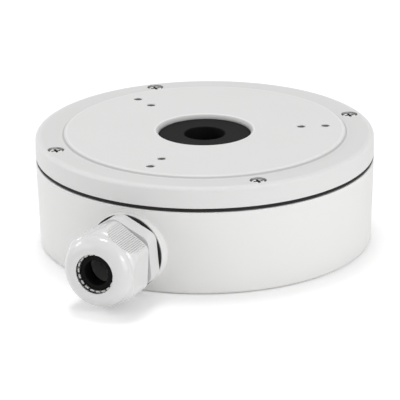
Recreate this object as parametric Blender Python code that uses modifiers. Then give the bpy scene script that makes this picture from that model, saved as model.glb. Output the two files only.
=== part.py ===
"""Round cast junction box for a security camera, with a side cable gland.

Metres, +Z up. The origin is on the box's axis at the face that meets the wall.
The gland points along -Y, and the camera is screwed to the cover's raised platform.
"""
import math

import bmesh
import bpy
from mathutils import Matrix, Vector

# Clearances
TOUCH_GAP = 0.0003
SCREW_CLEARANCE = 0.0003

# Shape of the mesh: facets of round forms, and where their first facet stands in degrees
RING_STEPS = 48
GLAND_STEPS = 28
GROMMET_STEPS = 24
PLUG_STEPS = 20
ROD_STEPS = 12
WASHER_STEPS = 12
HEAD_STEPS = 12
TAP_STEPS = 12
SCREW_STEPS = 10
NUT_FLAT_STEPS = 5
TOOL_TURN = 7.0
# Facets closer than this to one plane, in degrees, count as one flat face
FLAT_ANGLE = 0.2
# Edges sharper than this, in degrees, stay sharp
SHARP_ANGLE = 35.0

# Box body
BODY_RADIUS = 0.0785
WALL_DRAFT = 0.0012
WALL = 0.0032
FLOOR = 0.003
BASE_HEIGHT = 0.0393
FLOOR_FILLET = 0.003
FOOT_CHAMFER = 0.0006

# Gasket between base and cover
GASKET_THICKNESS = 0.0012
GASKET_RECESS = 0.0003

# Cover: insets are measured from the side of the body
COVER_SIDE = 0.0097
COVER_PLATE = 0.003
RIM_FILLET = 0.0018
PLATFORM_RISE = 0.0012
PLATFORM_INSET = 0.0137
PLATFORM_EDGE = 0.0015
OPENING_RADIUS = 0.0215
OPENING_FILLET = 0.0012
COLLAR_WALL = 0.0036
COLLAR_DROP = 0.0026
LEDGE_WIDTH = 0.0034
LEDGE_THICKNESS = 0.0015
RIB_WIDTH = 0.0025
RIB_DROP = 0.0035

# Camera fixing holes: three pairs, placed from the platform's edge
PAIR_ANGLES = (30, 150, 270)
PAIR_INSET = 0.0085
PAIR_SPACING = 0.0113
TAP_RADIUS = 0.0019
TAP_DEPTH = 0.007
TAP_WALL = 0.0022
TAP_BOTTOM = 0.0012

# Cover screws
SCREW_INSET = 0.0064
SCREW_ANGLES = (45, 135, 225, 315)
SHANK_RADIUS = 0.002
HEAD_RADIUS = 0.0035
HEAD_HEIGHT = 0.0026
HEAD_SUNK = 0.0009
HEAD_SIDE_GAP = 0.00035
SHANK_LENGTH = 0.018
TIP_TAPER = 0.0008
RECESS_LENGTH = 0.0042
RECESS_WIDTH = 0.0009
RECESS_DEPTH = 0.0014
SCREW_BOSS_RADIUS = 0.005
COVER_BOSS_RADIUS = 0.0056
THREAD_RUNOUT = 0.002
RETAINER_HEIGHT = 0.0012
RETAINER_WALL = 0.0015

# Cable grommet in the cover
GROMMET_SUNK = 0.0019
GROMMET_BORE = 0.0095
GROMMET_LIP = 0.002
GROMMET_LOWER_LIP = 0.0017
GROMMET_BORE_CHAMFER = 0.0004

# Wall fixing holes in the floor
WALL_HOLE_INSET = 0.0235
WALL_HOLE_ANGLES = (0, 90, 180, 270)
WALL_HOLE_RADIUS = 0.0025
WALL_PAD_RADIUS = 0.0065
WALL_PAD_RISE = 0.0012

# Rear cable hole and its plug
REAR_HOLE_OFFSET = 0.026
REAR_HOLE_RADIUS = 0.011
REAR_SEAT_WIDTH = 0.0015
REAR_SEAT_DEPTH = 0.0012
PLUG_FLANGE_WIDTH = 0.0025
PLUG_FLANGE_HEIGHT = 0.002
PLUG_DISH = 0.0012
PLUG_WEB = 0.0022

# Earth terminal on the floor
EARTH_INSET = 0.0176
EARTH_ANGLE = 157.0
EARTH_SLOT_TURN = 20.0
EARTH_BOSS_RADIUS = 0.0042
EARTH_BOSS_HEIGHT = 0.006
EARTH_SHANK_RADIUS = 0.002
EARTH_HEAD_RADIUS = 0.0038
EARTH_HEAD_HEIGHT = 0.0026
EARTH_SHANK_LENGTH = 0.006
EARTH_WASHER_RADIUS = 0.0046
EARTH_WASHER_THICKNESS = 0.0008

# Gland boss on the wall, between the foot and the rim of the base
BOSS_FOOT_GAP = 0.0016
BOSS_RIM_GAP = 0.0021
BOSS_STAND = 0.0025

# Gland body: sizes across it follow from the boss
BOSS_WALL = 0.005
GLAND_BODY_WALL = 0.003
GLAND_TAIL = 0.0105
GLAND_WASHER_THICKNESS = 0.0011
GLAND_WASHER_INSET = 0.0003
FLANGE_INSET = 0.0011
FLANGE_THICKNESS = 0.0082
FLANGE_TURN = 5.0
HEX_CORNER_RADIUS = 0.005
NUT_THREAD_LENGTH = 0.009

# Dome nut
NUT_LENGTH = 0.0218
NUT_HEX_LENGTH = 0.0112
NUT_TURN = -3.3
NUT_SHOULDER = 0.0012
NUT_DOME_STEP = 0.0004
NUT_DOME_STEPS = 3
NUT_DOME_POWER = 0.75
NUT_FACE_WIDTH = 0.0018
NUT_MOUTH_STEP = 0.0034
NUT_MOUTH_LAND = 0.0008
NUT_RIBS_PER_FLAT = 14
NUT_RIB_HEIGHT = 0.0003
NUT_RIB_INSET = 0.0006

# Claw and seal in the nut
CLAW_FINGERS = 19
CLAW_SLOT = 0.0011
CLAW_WALL = 0.0009
CLAW_RING = 0.0025
SEAL_LIP_WALL = 0.0018
SEAL_LIP_LENGTH = 0.0058
SEAL_SLEEVE_WALL = 0.0012

# Heights, radii and reaches that follow from the values above
GASKET_BOTTOM = BASE_HEIGHT + TOUCH_GAP
GASKET_TOP = GASKET_BOTTOM + GASKET_THICKNESS
COVER_BOTTOM = GASKET_TOP + TOUCH_GAP
RIM_TOP = COVER_BOTTOM + COVER_SIDE
PLATE_UNDER = RIM_TOP - COVER_PLATE
PLATFORM_TOP = RIM_TOP + PLATFORM_RISE
PLATFORM_RADIUS = BODY_RADIUS - PLATFORM_INSET
PAIR_OUTER_RADIUS = PLATFORM_RADIUS - PAIR_INSET
PAIR_INNER_RADIUS = PAIR_OUTER_RADIUS - PAIR_SPACING
SCREW_CIRCLE = BODY_RADIUS - SCREW_INSET
WALL_HOLE_CIRCLE = BODY_RADIUS - WALL_HOLE_INSET
EARTH_CIRCLE = BODY_RADIUS - EARTH_INSET
COLLAR_RADIUS = OPENING_RADIUS + COLLAR_WALL
COLLAR_BOTTOM = PLATE_UNDER - COLLAR_DROP
LEDGE_RADIUS = OPENING_RADIUS - LEDGE_WIDTH
LEDGE_TOP = COLLAR_BOTTOM + LEDGE_THICKNESS
HEAD_TOP = RIM_TOP - HEAD_SUNK
HEAD_UNDER = HEAD_TOP - HEAD_HEIGHT
SCREW_TIP = HEAD_UNDER - SHANK_LENGTH
SCREW_HOLE_RADIUS = SHANK_RADIUS + SCREW_CLEARANCE

# The gland's axis lies along -Y, and reaches are distances from the box's axis
GLAND_BOSS_RADIUS = (BASE_HEIGHT - BOSS_FOOT_GAP - BOSS_RIM_GAP) / 2
GLAND_HEIGHT = BOSS_FOOT_GAP + GLAND_BOSS_RADIUS
GLAND_BOSS_REACH = BODY_RADIUS + BOSS_STAND
GLAND_BOSS_ROOT = BODY_RADIUS - 2 * WALL
GLAND_THREAD_RADIUS = GLAND_BOSS_RADIUS - BOSS_WALL - TOUCH_GAP
GLAND_BORE = GLAND_THREAD_RADIUS - GLAND_BODY_WALL
FLANGE_ACROSS_FLATS = 2 * (GLAND_BOSS_RADIUS - FLANGE_INSET)
FLANGE_BACK = GLAND_BOSS_REACH + GLAND_WASHER_THICKNESS + 2 * TOUCH_GAP
FLANGE_FRONT = FLANGE_BACK + FLANGE_THICKNESS
NUT_ACROSS_FLATS = FLANGE_ACROSS_FLATS
NUT_BACK = FLANGE_FRONT + TOUCH_GAP
NUT_FRONT = NUT_BACK + NUT_LENGTH
NUT_THREAD_RADIUS = GLAND_THREAD_RADIUS
NUT_THREAD_END = FLANGE_FRONT + NUT_THREAD_LENGTH
NUT_BORE = NUT_THREAD_RADIUS + TOUCH_GAP
NUT_MOUTH_RADIUS = NUT_THREAD_RADIUS - NUT_MOUTH_STEP
CLAW_BACK = NUT_THREAD_END + TOUCH_GAP
CLAW_SHOULDER = CLAW_BACK + 2 * CLAW_RING
CLAW_OUTER = NUT_THREAD_RADIUS - TOUCH_GAP
CLAW_TIP_RADIUS = NUT_MOUTH_RADIUS - TOUCH_GAP
CLAW_TIP = NUT_FRONT - NUT_MOUTH_LAND - TOUCH_GAP
SEAL_FRONT = CLAW_TIP - TOUCH_GAP
SEAL_TIP_RADIUS = CLAW_TIP_RADIUS - CLAW_WALL - TOUCH_GAP
SEAL_BORE = SEAL_TIP_RADIUS - SEAL_LIP_WALL

for old in list(bpy.data.objects):
    bpy.data.objects.remove(old, do_unlink=True)


def new_collection(name):
    collection = bpy.data.collections.get(name) or bpy.data.collections.new(name)
    if name not in bpy.context.scene.collection.children:
        bpy.context.scene.collection.children.link(collection)
    return collection


PARTS = new_collection("camera_junction_box")
CUTTERS = new_collection("cutters")


def surface(name, colour, roughness, metallic=0.0):
    """A Principled material with one colour and finish."""
    material = bpy.data.materials.get(name) or bpy.data.materials.new(name)
    material.use_nodes = True
    shader = material.node_tree.nodes["Principled BSDF"]
    shader.inputs["Base Color"].default_value = (*colour, 1.0)
    shader.inputs["Roughness"].default_value = roughness
    shader.inputs["Metallic"].default_value = metallic
    return material


WHITE_PAINT = surface("white_paint", (0.78, 0.79, 0.80), 0.45)
WHITE_NYLON = surface("white_nylon", (0.74, 0.75, 0.76), 0.32)
BLACK_RUBBER = surface("black_rubber", (0.02, 0.02, 0.022), 0.7)
SCREW_STEEL = surface("screw_steel", (0.62, 0.62, 0.60), 0.3, 1.0)


def finish_part(part, material):
    """Put a piece in the object's collection, with its finish and smooth round faces."""
    if any(step.type == "BOOLEAN" for step in part.modifiers):
        flatten(part)
    PARTS.objects.link(part)
    part.data.materials.append(material)
    part.data.shade_smooth()
    part.data.set_sharp_from_angle(angle=math.radians(SHARP_ANGLE))
    return part


def finish_cutter(cutter):
    """Put a tool solid among the cutters, out of the render."""
    CUTTERS.objects.link(cutter)
    cutter.hide_render = True
    cutter.display_type = "WIRE"
    return cutter


def flatten(part):
    """Join the facets that lie in one plane, so that flat faces are whole."""
    flat = part.modifiers.new("flat faces", "DECIMATE")
    flat.decimate_type = "DISSOLVE"
    flat.angle_limit = math.radians(FLAT_ANGLE)


def turned(name, profile, steps=RING_STEPS, closed=True):
    """A solid turned about its own Z from (radius, height) points, down its outer side."""
    mesh = bpy.data.meshes.new(name)
    points = [(radius, 0.0, height) for radius, height in profile]
    edges = [(i, i + 1) for i in range(len(points) - 1)]
    if closed:
        edges.append((len(points) - 1, 0))
    mesh.from_pydata(points, edges, [])
    part = bpy.data.objects.new(name, mesh)
    screw = part.modifiers.new("turn", "SCREW")
    screw.steps = steps
    screw.render_steps = steps
    screw.use_merge_vertices = True
    screw.merge_threshold = 0.00001
    flatten(part)
    return part


def arc(centre, radius, start, end, steps):
    """Points on an arc in the (radius, height) plane, angles in degrees."""
    points = []
    for i in range(steps + 1):
        angle = math.radians(start + (end - start) * i / steps)
        points.append((centre[0] + radius * math.cos(angle), centre[1] + radius * math.sin(angle)))
    return points


def turned_tool(name, rows):
    """Upright turned solids in one tool, from (x, y, (radius, height) points, facets) rows."""
    shape = bmesh.new()
    for x, y, profile, facets in rows:
        outline = [(0.0, profile[0][1]), *profile, (0.0, profile[-1][1])]
        start = Matrix.Rotation(math.radians(TOOL_TURN), 4, "Z")
        verts = [shape.verts.new(start @ Vector((radius, 0.0, z))) for radius, z in outline]
        edges = [shape.edges.new(pair) for pair in zip(verts, verts[1:])]
        bmesh.ops.translate(shape, verts=verts, vec=(x, y, 0.0))
        bmesh.ops.spin(
            shape,
            geom=verts + edges,
            cent=(x, y, 0.0),
            axis=(0.0, 0.0, 1.0),
            angle=2 * math.pi,
            steps=facets,
        )
    bmesh.ops.remove_doubles(shape, verts=shape.verts, dist=0.000001)
    bmesh.ops.recalc_face_normals(shape, faces=shape.faces)
    bmesh.ops.dissolve_limit(
        shape, angle_limit=math.radians(FLAT_ANGLE), verts=shape.verts, edges=shape.edges
    )
    mesh = bpy.data.meshes.new(name)
    shape.to_mesh(mesh)
    shape.free()
    return finish_cutter(bpy.data.objects.new(name, mesh))


def rods(places, radius, low, high, facets=ROD_STEPS):
    """Rows for turned_tool: plain round rods or holes at (x, y) places, between two heights."""
    return [(x, y, [(radius, high), (radius, low)], facets) for x, y in places]


def boxes(name, places, size):
    """Equal boxes at (x, y, z, turn about Z in degrees) places, in one tool solid."""
    shape = bmesh.new()
    for x, y, z, turn in places:
        place = Matrix.Translation((x, y, z)) @ Matrix.Rotation(math.radians(turn), 4, "Z")
        bmesh.ops.create_cube(shape, size=1.0, matrix=place @ Matrix.Diagonal((*size, 1.0)))
    mesh = bpy.data.meshes.new(name)
    shape.to_mesh(mesh)
    shape.free()
    return finish_cutter(bpy.data.objects.new(name, mesh))


def combine(part, tool, operation):
    """Add the tool solid to the piece, or take it away."""
    step = part.modifiers.new(tool.name, "BOOLEAN")
    step.operation = operation
    step.object = tool
    step.solver = "EXACT"


def around(radius, angles):
    """Places on a circle about the box's axis."""
    return [(radius * math.cos(math.radians(a)), radius * math.sin(math.radians(a))) for a in angles]


def along_gland(part):
    """Lay a shape turned about Z along the gland's axis, which points along -Y."""
    part.location = (0.0, 0.0, GLAND_HEIGHT)
    part.rotation_euler = (math.pi / 2, 0.0, 0.0)
    return part


SCREW_PLACES = around(SCREW_CIRCLE, SCREW_ANGLES)
WALL_HOLE_PLACES = around(WALL_HOLE_CIRCLE, WALL_HOLE_ANGLES)
TAP_PLACES = around(PAIR_INNER_RADIUS, PAIR_ANGLES) + around(PAIR_OUTER_RADIUS, PAIR_ANGLES)
EARTH_PLACES = around(EARTH_CIRCLE, (EARTH_ANGLE,))
AXIS = [(0.0, 0.0)]


def base_housing():
    """Cast cup: drafted wall, floor, screw columns, wall pads, earth boss and gland boss."""
    foot_radius = BODY_RADIUS - WALL_DRAFT
    inner_top = BODY_RADIUS - WALL
    inner_foot = foot_radius - WALL
    fillet_centre = (inner_foot - FLOOR_FILLET, FLOOR + FLOOR_FILLET)
    profile = [(0.0, FLOOR)]
    profile += arc(fillet_centre, FLOOR_FILLET, -90, 0, 2)
    profile += [
        (inner_top, BASE_HEIGHT),
        (BODY_RADIUS, BASE_HEIGHT),
        (foot_radius, FOOT_CHAMFER),
        (foot_radius - FOOT_CHAMFER, 0.0),
        (0.0, 0.0),
    ]
    part = turned("base_housing", profile, closed=False)
    root = FLOOR / 2
    earth_top = FLOOR + EARTH_BOSS_HEIGHT
    raised = rods(SCREW_PLACES, SCREW_BOSS_RADIUS, root, BASE_HEIGHT)
    raised += rods(WALL_HOLE_PLACES, WALL_PAD_RADIUS, root, FLOOR + WALL_PAD_RISE)
    raised += rods(EARTH_PLACES, EARTH_BOSS_RADIUS, root, earth_top)
    combine(part, turned_tool("floor_bosses", raised), "UNION")
    boss = rods(AXIS, GLAND_BOSS_RADIUS, GLAND_BOSS_ROOT, GLAND_BOSS_REACH, GLAND_STEPS)
    combine(part, along_gland(turned_tool("gland_boss", boss)), "UNION")

    below = 2 * FLOOR
    drilled = rods(SCREW_PLACES, SCREW_HOLE_RADIUS, SCREW_TIP - THREAD_RUNOUT, RIM_TOP)
    drilled += rods(WALL_HOLE_PLACES, WALL_HOLE_RADIUS, -below, 2 * below)
    earth_hole_radius = EARTH_SHANK_RADIUS + SCREW_CLEARANCE
    drilled += rods(EARTH_PLACES, earth_hole_radius, earth_top - EARTH_SHANK_LENGTH, 2 * earth_top)
    rear_seat_radius = REAR_HOLE_RADIUS + REAR_SEAT_WIDTH
    rear_profile = [
        (REAR_HOLE_RADIUS, 2 * below),
        (REAR_HOLE_RADIUS, REAR_SEAT_DEPTH),
        (rear_seat_radius, REAR_SEAT_DEPTH),
        (rear_seat_radius, -below),
    ]
    drilled.append((0.0, REAR_HOLE_OFFSET, rear_profile, PLUG_STEPS))
    combine(part, turned_tool("base_holes", drilled), "DIFFERENCE")
    hole_radius = GLAND_THREAD_RADIUS + TOUCH_GAP
    hole_root = GLAND_BOSS_ROOT - 2 * WALL
    gland_hole = rods(AXIS, hole_radius, hole_root, GLAND_BOSS_REACH + WALL, GLAND_STEPS)
    combine(part, along_gland(turned_tool("gland_hole", gland_hole)), "DIFFERENCE")
    return finish_part(part, WHITE_PAINT)


def cover_gasket():
    """Flat rubber ring with an ear round each cover screw."""
    outer = BODY_RADIUS - GASKET_RECESS
    ear_reach = SCREW_CIRCLE - SCREW_BOSS_RADIUS - WALL
    profile = [
        (ear_reach, GASKET_TOP),
        (outer, GASKET_TOP),
        (outer, GASKET_BOTTOM),
        (ear_reach, GASKET_BOTTOM),
    ]
    part = turned("cover_gasket", profile)
    low = GASKET_BOTTOM - WALL
    high = GASKET_TOP + WALL
    inside = turned_tool("gasket_inside", rods(AXIS, BODY_RADIUS - WALL, low, high, RING_STEPS))
    ears = rods(SCREW_PLACES, SCREW_BOSS_RADIUS, low - WALL, high + WALL)
    combine(inside, turned_tool("gasket_ears", ears), "DIFFERENCE")
    holes = rods(SCREW_PLACES, SCREW_HOLE_RADIUS, low, high)
    combine(part, inside, "DIFFERENCE")
    combine(part, turned_tool("gasket_holes", holes), "DIFFERENCE")
    return finish_part(part, BLACK_RUBBER)


def cover_plate():
    """Cast cover: rim ring, raised platform, stepped opening, columns and ribs underneath."""
    side_inner = BODY_RADIUS - WALL
    crown = side_inner - WALL_DRAFT / 2
    profile = arc(
        (OPENING_RADIUS + OPENING_FILLET, PLATFORM_TOP - OPENING_FILLET), OPENING_FILLET, 180, 90, 2
    )
    profile += [
        (PLATFORM_RADIUS, PLATFORM_TOP),
        (PLATFORM_RADIUS + PLATFORM_EDGE, RIM_TOP),
    ]
    profile += arc((BODY_RADIUS - RIM_FILLET, RIM_TOP - RIM_FILLET), RIM_FILLET, 90, 0, 2)
    profile += [
        (BODY_RADIUS, COVER_BOTTOM),
        (side_inner, COVER_BOTTOM),
        (crown, PLATE_UNDER),
        (COLLAR_RADIUS, PLATE_UNDER),
        (COLLAR_RADIUS, COLLAR_BOTTOM),
        (LEDGE_RADIUS, COLLAR_BOTTOM),
        (LEDGE_RADIUS, LEDGE_TOP),
        (OPENING_RADIUS, LEDGE_TOP),
    ]
    part = turned("cover_plate", profile)
    plate_middle = (PLATE_UNDER + RIM_TOP) / 2
    tap_floor = PLATFORM_TOP - TAP_DEPTH
    columns = rods(SCREW_PLACES, COVER_BOSS_RADIUS, COVER_BOTTOM, plate_middle)
    columns += rods(
        TAP_PLACES, TAP_RADIUS + TAP_WALL, tap_floor - TAP_BOTTOM, plate_middle, TAP_STEPS
    )
    combine(part, turned_tool("cover_columns", columns), "UNION")
    rib_inner = COLLAR_RADIUS - COLLAR_WALL / 2
    rib_outer = side_inner + WALL / 2
    rib_length = rib_outer - rib_inner
    rib_low = PLATE_UNDER - RIB_DROP
    rib_height = plate_middle - rib_low
    rib_places = []
    for angle, (x, y) in zip(PAIR_ANGLES, around((rib_inner + rib_outer) / 2, PAIR_ANGLES)):
        rib_places.append((x, y, (rib_low + plate_middle) / 2, angle))
    ribs = boxes("cover_ribs", rib_places, (rib_length, RIB_WIDTH, rib_height))
    combine(part, ribs, "UNION")

    above = RIM_TOP + COVER_SIDE
    seat_top = COVER_BOTTOM + RETAINER_HEIGHT + 2 * TOUCH_GAP
    seat_radius = SCREW_HOLE_RADIUS + RETAINER_WALL + TOUCH_GAP
    counterbore = [
        (HEAD_RADIUS + HEAD_SIDE_GAP, above),
        (HEAD_RADIUS + HEAD_SIDE_GAP, HEAD_UNDER - TOUCH_GAP),
        (SCREW_HOLE_RADIUS, HEAD_UNDER - TOUCH_GAP),
        (SCREW_HOLE_RADIUS, seat_top),
        (seat_radius, seat_top),
        (seat_radius, COVER_BOTTOM - COVER_SIDE),
    ]
    drilled = [(x, y, counterbore, HEAD_STEPS) for x, y in SCREW_PLACES]
    drilled += rods(TAP_PLACES, TAP_RADIUS, tap_floor, above, TAP_STEPS)
    combine(part, turned_tool("cover_holes", drilled), "DIFFERENCE")
    return finish_part(part, WHITE_PAINT)


def cable_grommet():
    """Rubber disc with a groove that grips the ledge in the cover's opening."""
    face = PLATFORM_TOP - GROMMET_SUNK
    outer = OPENING_RADIUS - TOUCH_GAP
    neck = LEDGE_RADIUS - TOUCH_GAP
    lip_under = LEDGE_TOP + TOUCH_GAP
    lower_top = COLLAR_BOTTOM - TOUCH_GAP
    lower = LEDGE_RADIUS + GROMMET_LIP
    profile = [
        (GROMMET_BORE, face - GROMMET_BORE_CHAMFER),
        (GROMMET_BORE + GROMMET_BORE_CHAMFER, face),
        (outer, face),
        (outer, lip_under),
        (neck, lip_under),
        (neck, lower_top),
        (lower, lower_top),
        (lower - GROMMET_LIP / 2, lower_top - GROMMET_LOWER_LIP),
        (GROMMET_BORE, lower_top - GROMMET_LOWER_LIP),
    ]
    return finish_part(turned("cable_grommet", profile, GROMMET_STEPS), BLACK_RUBBER)


def pan_screw(name, place, head_radius, head_height, shank_radius, shank_length):
    """A pan-head screw standing on the underside of its head, at its place."""
    rounding = head_height / 4
    profile = [
        (0.0, head_height),
        (head_radius - rounding, head_height),
        (head_radius, head_height - rounding),
        (head_radius, 0.0),
        (shank_radius, 0.0),
        (shank_radius, TIP_TAPER - shank_length),
        (shank_radius - TIP_TAPER, -shank_length),
        (0.0, -shank_length),
    ]
    part = turned(name, profile, SCREW_STEPS, closed=False)
    part.location = place
    return part


def cover_screws():
    """Four equal captive screws with a cross recess, sunk in the rim ring."""
    recess_middle = HEAD_TOP
    slot_places = [(x, y, recess_middle, a) for a, (x, y) in zip(SCREW_ANGLES, SCREW_PLACES)]
    cross_places = [(x, y, z, a + 90) for x, y, z, a in slot_places]
    slot_size = (RECESS_LENGTH, RECESS_WIDTH, 2 * RECESS_DEPTH)
    slots = boxes("recess_slots", slot_places, slot_size)
    crosses = boxes("recess_crosses", cross_places, slot_size)
    for number, (x, y) in enumerate(SCREW_PLACES, 1):
        part = pan_screw(
            f"cover_screw_{number}",
            (x, y, HEAD_UNDER),
            HEAD_RADIUS,
            HEAD_HEIGHT,
            SHANK_RADIUS,
            SHANK_LENGTH,
        )
        combine(part, slots, "DIFFERENCE")
        combine(part, crosses, "DIFFERENCE")
        finish_part(part, SCREW_STEEL)


def screw_retainers():
    """Rubber rings under the cover that keep its screws captive."""
    low = COVER_BOTTOM + TOUCH_GAP
    high = low + RETAINER_HEIGHT
    outer = SCREW_HOLE_RADIUS + RETAINER_WALL
    profile = [(SCREW_HOLE_RADIUS, high), (outer, high), (outer, low), (SCREW_HOLE_RADIUS, low)]
    for number, (x, y) in enumerate(SCREW_PLACES, 1):
        part = turned(f"screw_retainer_{number}", profile, SCREW_STEPS)
        part.location = (x, y, 0.0)
        finish_part(part, BLACK_RUBBER)


def rear_plug():
    """Rubber plug whose groove grips the rim of the cable hole in the floor."""
    seat = REAR_HOLE_RADIUS + REAR_SEAT_WIDTH
    neck = REAR_HOLE_RADIUS - TOUCH_GAP
    flange = REAR_HOLE_RADIUS + PLUG_FLANGE_WIDTH
    flange_low = FLOOR + TOUCH_GAP
    flange_high = flange_low + PLUG_FLANGE_HEIGHT
    lip_top = REAR_SEAT_DEPTH - TOUCH_GAP
    dish_radius = neck - PLUG_DISH
    profile = [
        (0.0, TOUCH_GAP + PLUG_WEB),
        (dish_radius - PLUG_DISH, TOUCH_GAP + PLUG_WEB),
        (dish_radius, flange_high),
        (flange - PLUG_DISH / 2, flange_high),
        (flange, flange_low),
        (neck, flange_low),
        (neck, lip_top),
        (seat - TOUCH_GAP, lip_top),
        (seat - TOUCH_GAP - PLUG_DISH / 4, TOUCH_GAP),
        (0.0, TOUCH_GAP),
    ]
    part = turned("rear_plug", profile, PLUG_STEPS, closed=False)
    part.location = (0.0, REAR_HOLE_OFFSET, 0.0)
    return finish_part(part, BLACK_RUBBER)


def earth_terminal():
    """Screw and washer that clamp the earth wire on the floor's boss."""
    washer_low = FLOOR + EARTH_BOSS_HEIGHT + TOUCH_GAP
    washer_high = washer_low + EARTH_WASHER_THICKNESS
    bore = EARTH_SHANK_RADIUS + SCREW_CLEARANCE
    profile = [
        (bore, washer_high),
        (EARTH_WASHER_RADIUS, washer_high),
        (EARTH_WASHER_RADIUS, washer_low),
        (bore, washer_low),
    ]
    x, y = EARTH_PLACES[0]
    washer = turned("earth_washer", profile, WASHER_STEPS)
    washer.location = (x, y, 0.0)
    finish_part(washer, SCREW_STEEL)
    head_under = washer_high + TOUCH_GAP
    screw = pan_screw(
        "earth_screw",
        (x, y, head_under),
        EARTH_HEAD_RADIUS,
        EARTH_HEAD_HEIGHT,
        EARTH_SHANK_RADIUS,
        EARTH_SHANK_LENGTH,
    )
    slot_place = [(x, y, head_under + EARTH_HEAD_HEIGHT, EARTH_SLOT_TURN)]
    slot_size = (2 * EARTH_HEAD_RADIUS + WALL, RECESS_WIDTH, 2 * RECESS_DEPTH)
    combine(screw, boxes("earth_slot", slot_place, slot_size), "DIFFERENCE")
    finish_part(screw, SCREW_STEEL)


def hex_outline(across_flats, corner_radius, turn, arc_steps=2):
    """A hexagon with rounded corners, as (x, y) points in order."""
    centre_radius = (across_flats / 2 - corner_radius) / math.cos(math.radians(30))
    points = []
    for corner in range(6):
        angle = 60 * corner + turn
        x = centre_radius * math.cos(math.radians(angle))
        y = centre_radius * math.sin(math.radians(angle))
        points += arc((x, y), corner_radius, angle - 30, angle + 30, arc_steps)
    return points


def ribbed_hex_outline(across_flats, corner_radius, turn, ribs, rib_height, flat_steps):
    """The rounded hexagon with fine ribs on every other flat."""
    plain = hex_outline(across_flats, corner_radius, turn)
    per_corner = len(plain) // 6
    points = []
    for corner in range(6):
        points += plain[corner * per_corner:(corner + 1) * per_corner]
        start = Vector(points[-1])
        end = Vector(plain[(corner + 1) * per_corner % len(plain)])
        inward = -(start + end).normalized() * rib_height
        if corner % 2 == 0:
            margin = NUT_RIB_INSET / (end - start).length
            for step in range(2 * ribs + 1):
                share = margin + (1 - 2 * margin) * step / (2 * ribs)
                point = start.lerp(end, share)
                points.append(tuple(point + inward) if step % 2 else tuple(point))
        else:
            points += [tuple(start.lerp(end, step / flat_steps)) for step in range(1, flat_steps)]
    return points


def loft(name, rings):
    """Skin equal rings of (x, y, z) points, in order, and close both ends in a closed loop."""
    shape = bmesh.new()
    rows = [[shape.verts.new(point) for point in ring] for ring in rings]
    count = len(rows[0])
    for low, high in zip(rows, rows[1:] + rows[:1]):
        for i in range(count):
            j = (i + 1) % count
            shape.faces.new((low[i], low[j], high[j], high[i]))
    bmesh.ops.recalc_face_normals(shape, faces=shape.faces)
    mesh = bpy.data.meshes.new(name)
    shape.to_mesh(mesh)
    shape.free()
    return bpy.data.objects.new(name, mesh)


def ring_at(points, height, scale=1.0):
    return [(x * scale, y * scale, height) for x, y in points]


def gland_body():
    """Nylon body: tail thread in the boss, hex flange, front thread for the nut."""
    outline = hex_outline(FLANGE_ACROSS_FLATS, HEX_CORNER_RADIUS, FLANGE_TURN + 30)
    inner = (GLAND_BORE + GLAND_THREAD_RADIUS) / FLANGE_ACROSS_FLATS
    flange = loft(
        "gland_body",
        [
            ring_at(outline, FLANGE_BACK, inner),
            ring_at(outline, FLANGE_BACK),
            ring_at(outline, FLANGE_FRONT),
            ring_at(outline, FLANGE_FRONT, inner),
        ],
    )
    middle = (FLANGE_BACK + FLANGE_FRONT) / 2
    tail = rods(AXIS, GLAND_THREAD_RADIUS, GLAND_BOSS_REACH - GLAND_TAIL, middle, GLAND_STEPS)
    front = rods(AXIS, NUT_THREAD_RADIUS, middle, NUT_THREAD_END, GLAND_STEPS)
    bore = rods(AXIS, GLAND_BORE, GLAND_BOSS_ROOT - WALL, NUT_FRONT, GLAND_STEPS)
    combine(flange, along_gland(turned_tool("gland_tail", tail)), "UNION")
    combine(flange, along_gland(turned_tool("gland_front", front)), "UNION")
    combine(flange, along_gland(turned_tool("gland_bore", bore)), "DIFFERENCE")
    return finish_part(along_gland(flange), WHITE_NYLON)


def gland_washer():
    """Rubber washer between the boss and the hex flange."""
    low = GLAND_BOSS_REACH + TOUCH_GAP
    high = low + GLAND_WASHER_THICKNESS
    inner = GLAND_THREAD_RADIUS + TOUCH_GAP
    outer = GLAND_BOSS_RADIUS - GLAND_WASHER_INSET
    profile = [(inner, high), (outer, high), (outer, low), (inner, low)]
    return finish_part(along_gland(turned("gland_washer", profile, GLAND_STEPS)), BLACK_RUBBER)


def gland_claw():
    """Ring of nylon fingers that the nut's cone presses inwards."""
    profile = [
        (CLAW_TIP_RADIUS - CLAW_WALL, CLAW_TIP),
        (CLAW_TIP_RADIUS, CLAW_TIP),
        (CLAW_OUTER, CLAW_SHOULDER),
        (CLAW_OUTER, CLAW_BACK),
        (GLAND_BORE, CLAW_BACK),
        (GLAND_BORE, CLAW_SHOULDER),
    ]
    part = turned("gland_claw", profile, 2 * CLAW_FINGERS)
    slot_low = CLAW_BACK + CLAW_RING
    slot_height = NUT_FRONT - slot_low
    slot_places = []
    for i in range(CLAW_FINGERS):
        turn = 360 * i / CLAW_FINGERS
        (x, y), = around(CLAW_OUTER, (turn,))
        slot_places.append((x, y, slot_low + slot_height / 2, turn))
    slot_length = 2 * (CLAW_OUTER - SEAL_BORE)
    slots = boxes("claw_slots", slot_places, (slot_length, CLAW_SLOT, slot_height))
    combine(part, along_gland(slots), "DIFFERENCE")
    return finish_part(along_gland(part), WHITE_NYLON)


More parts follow.
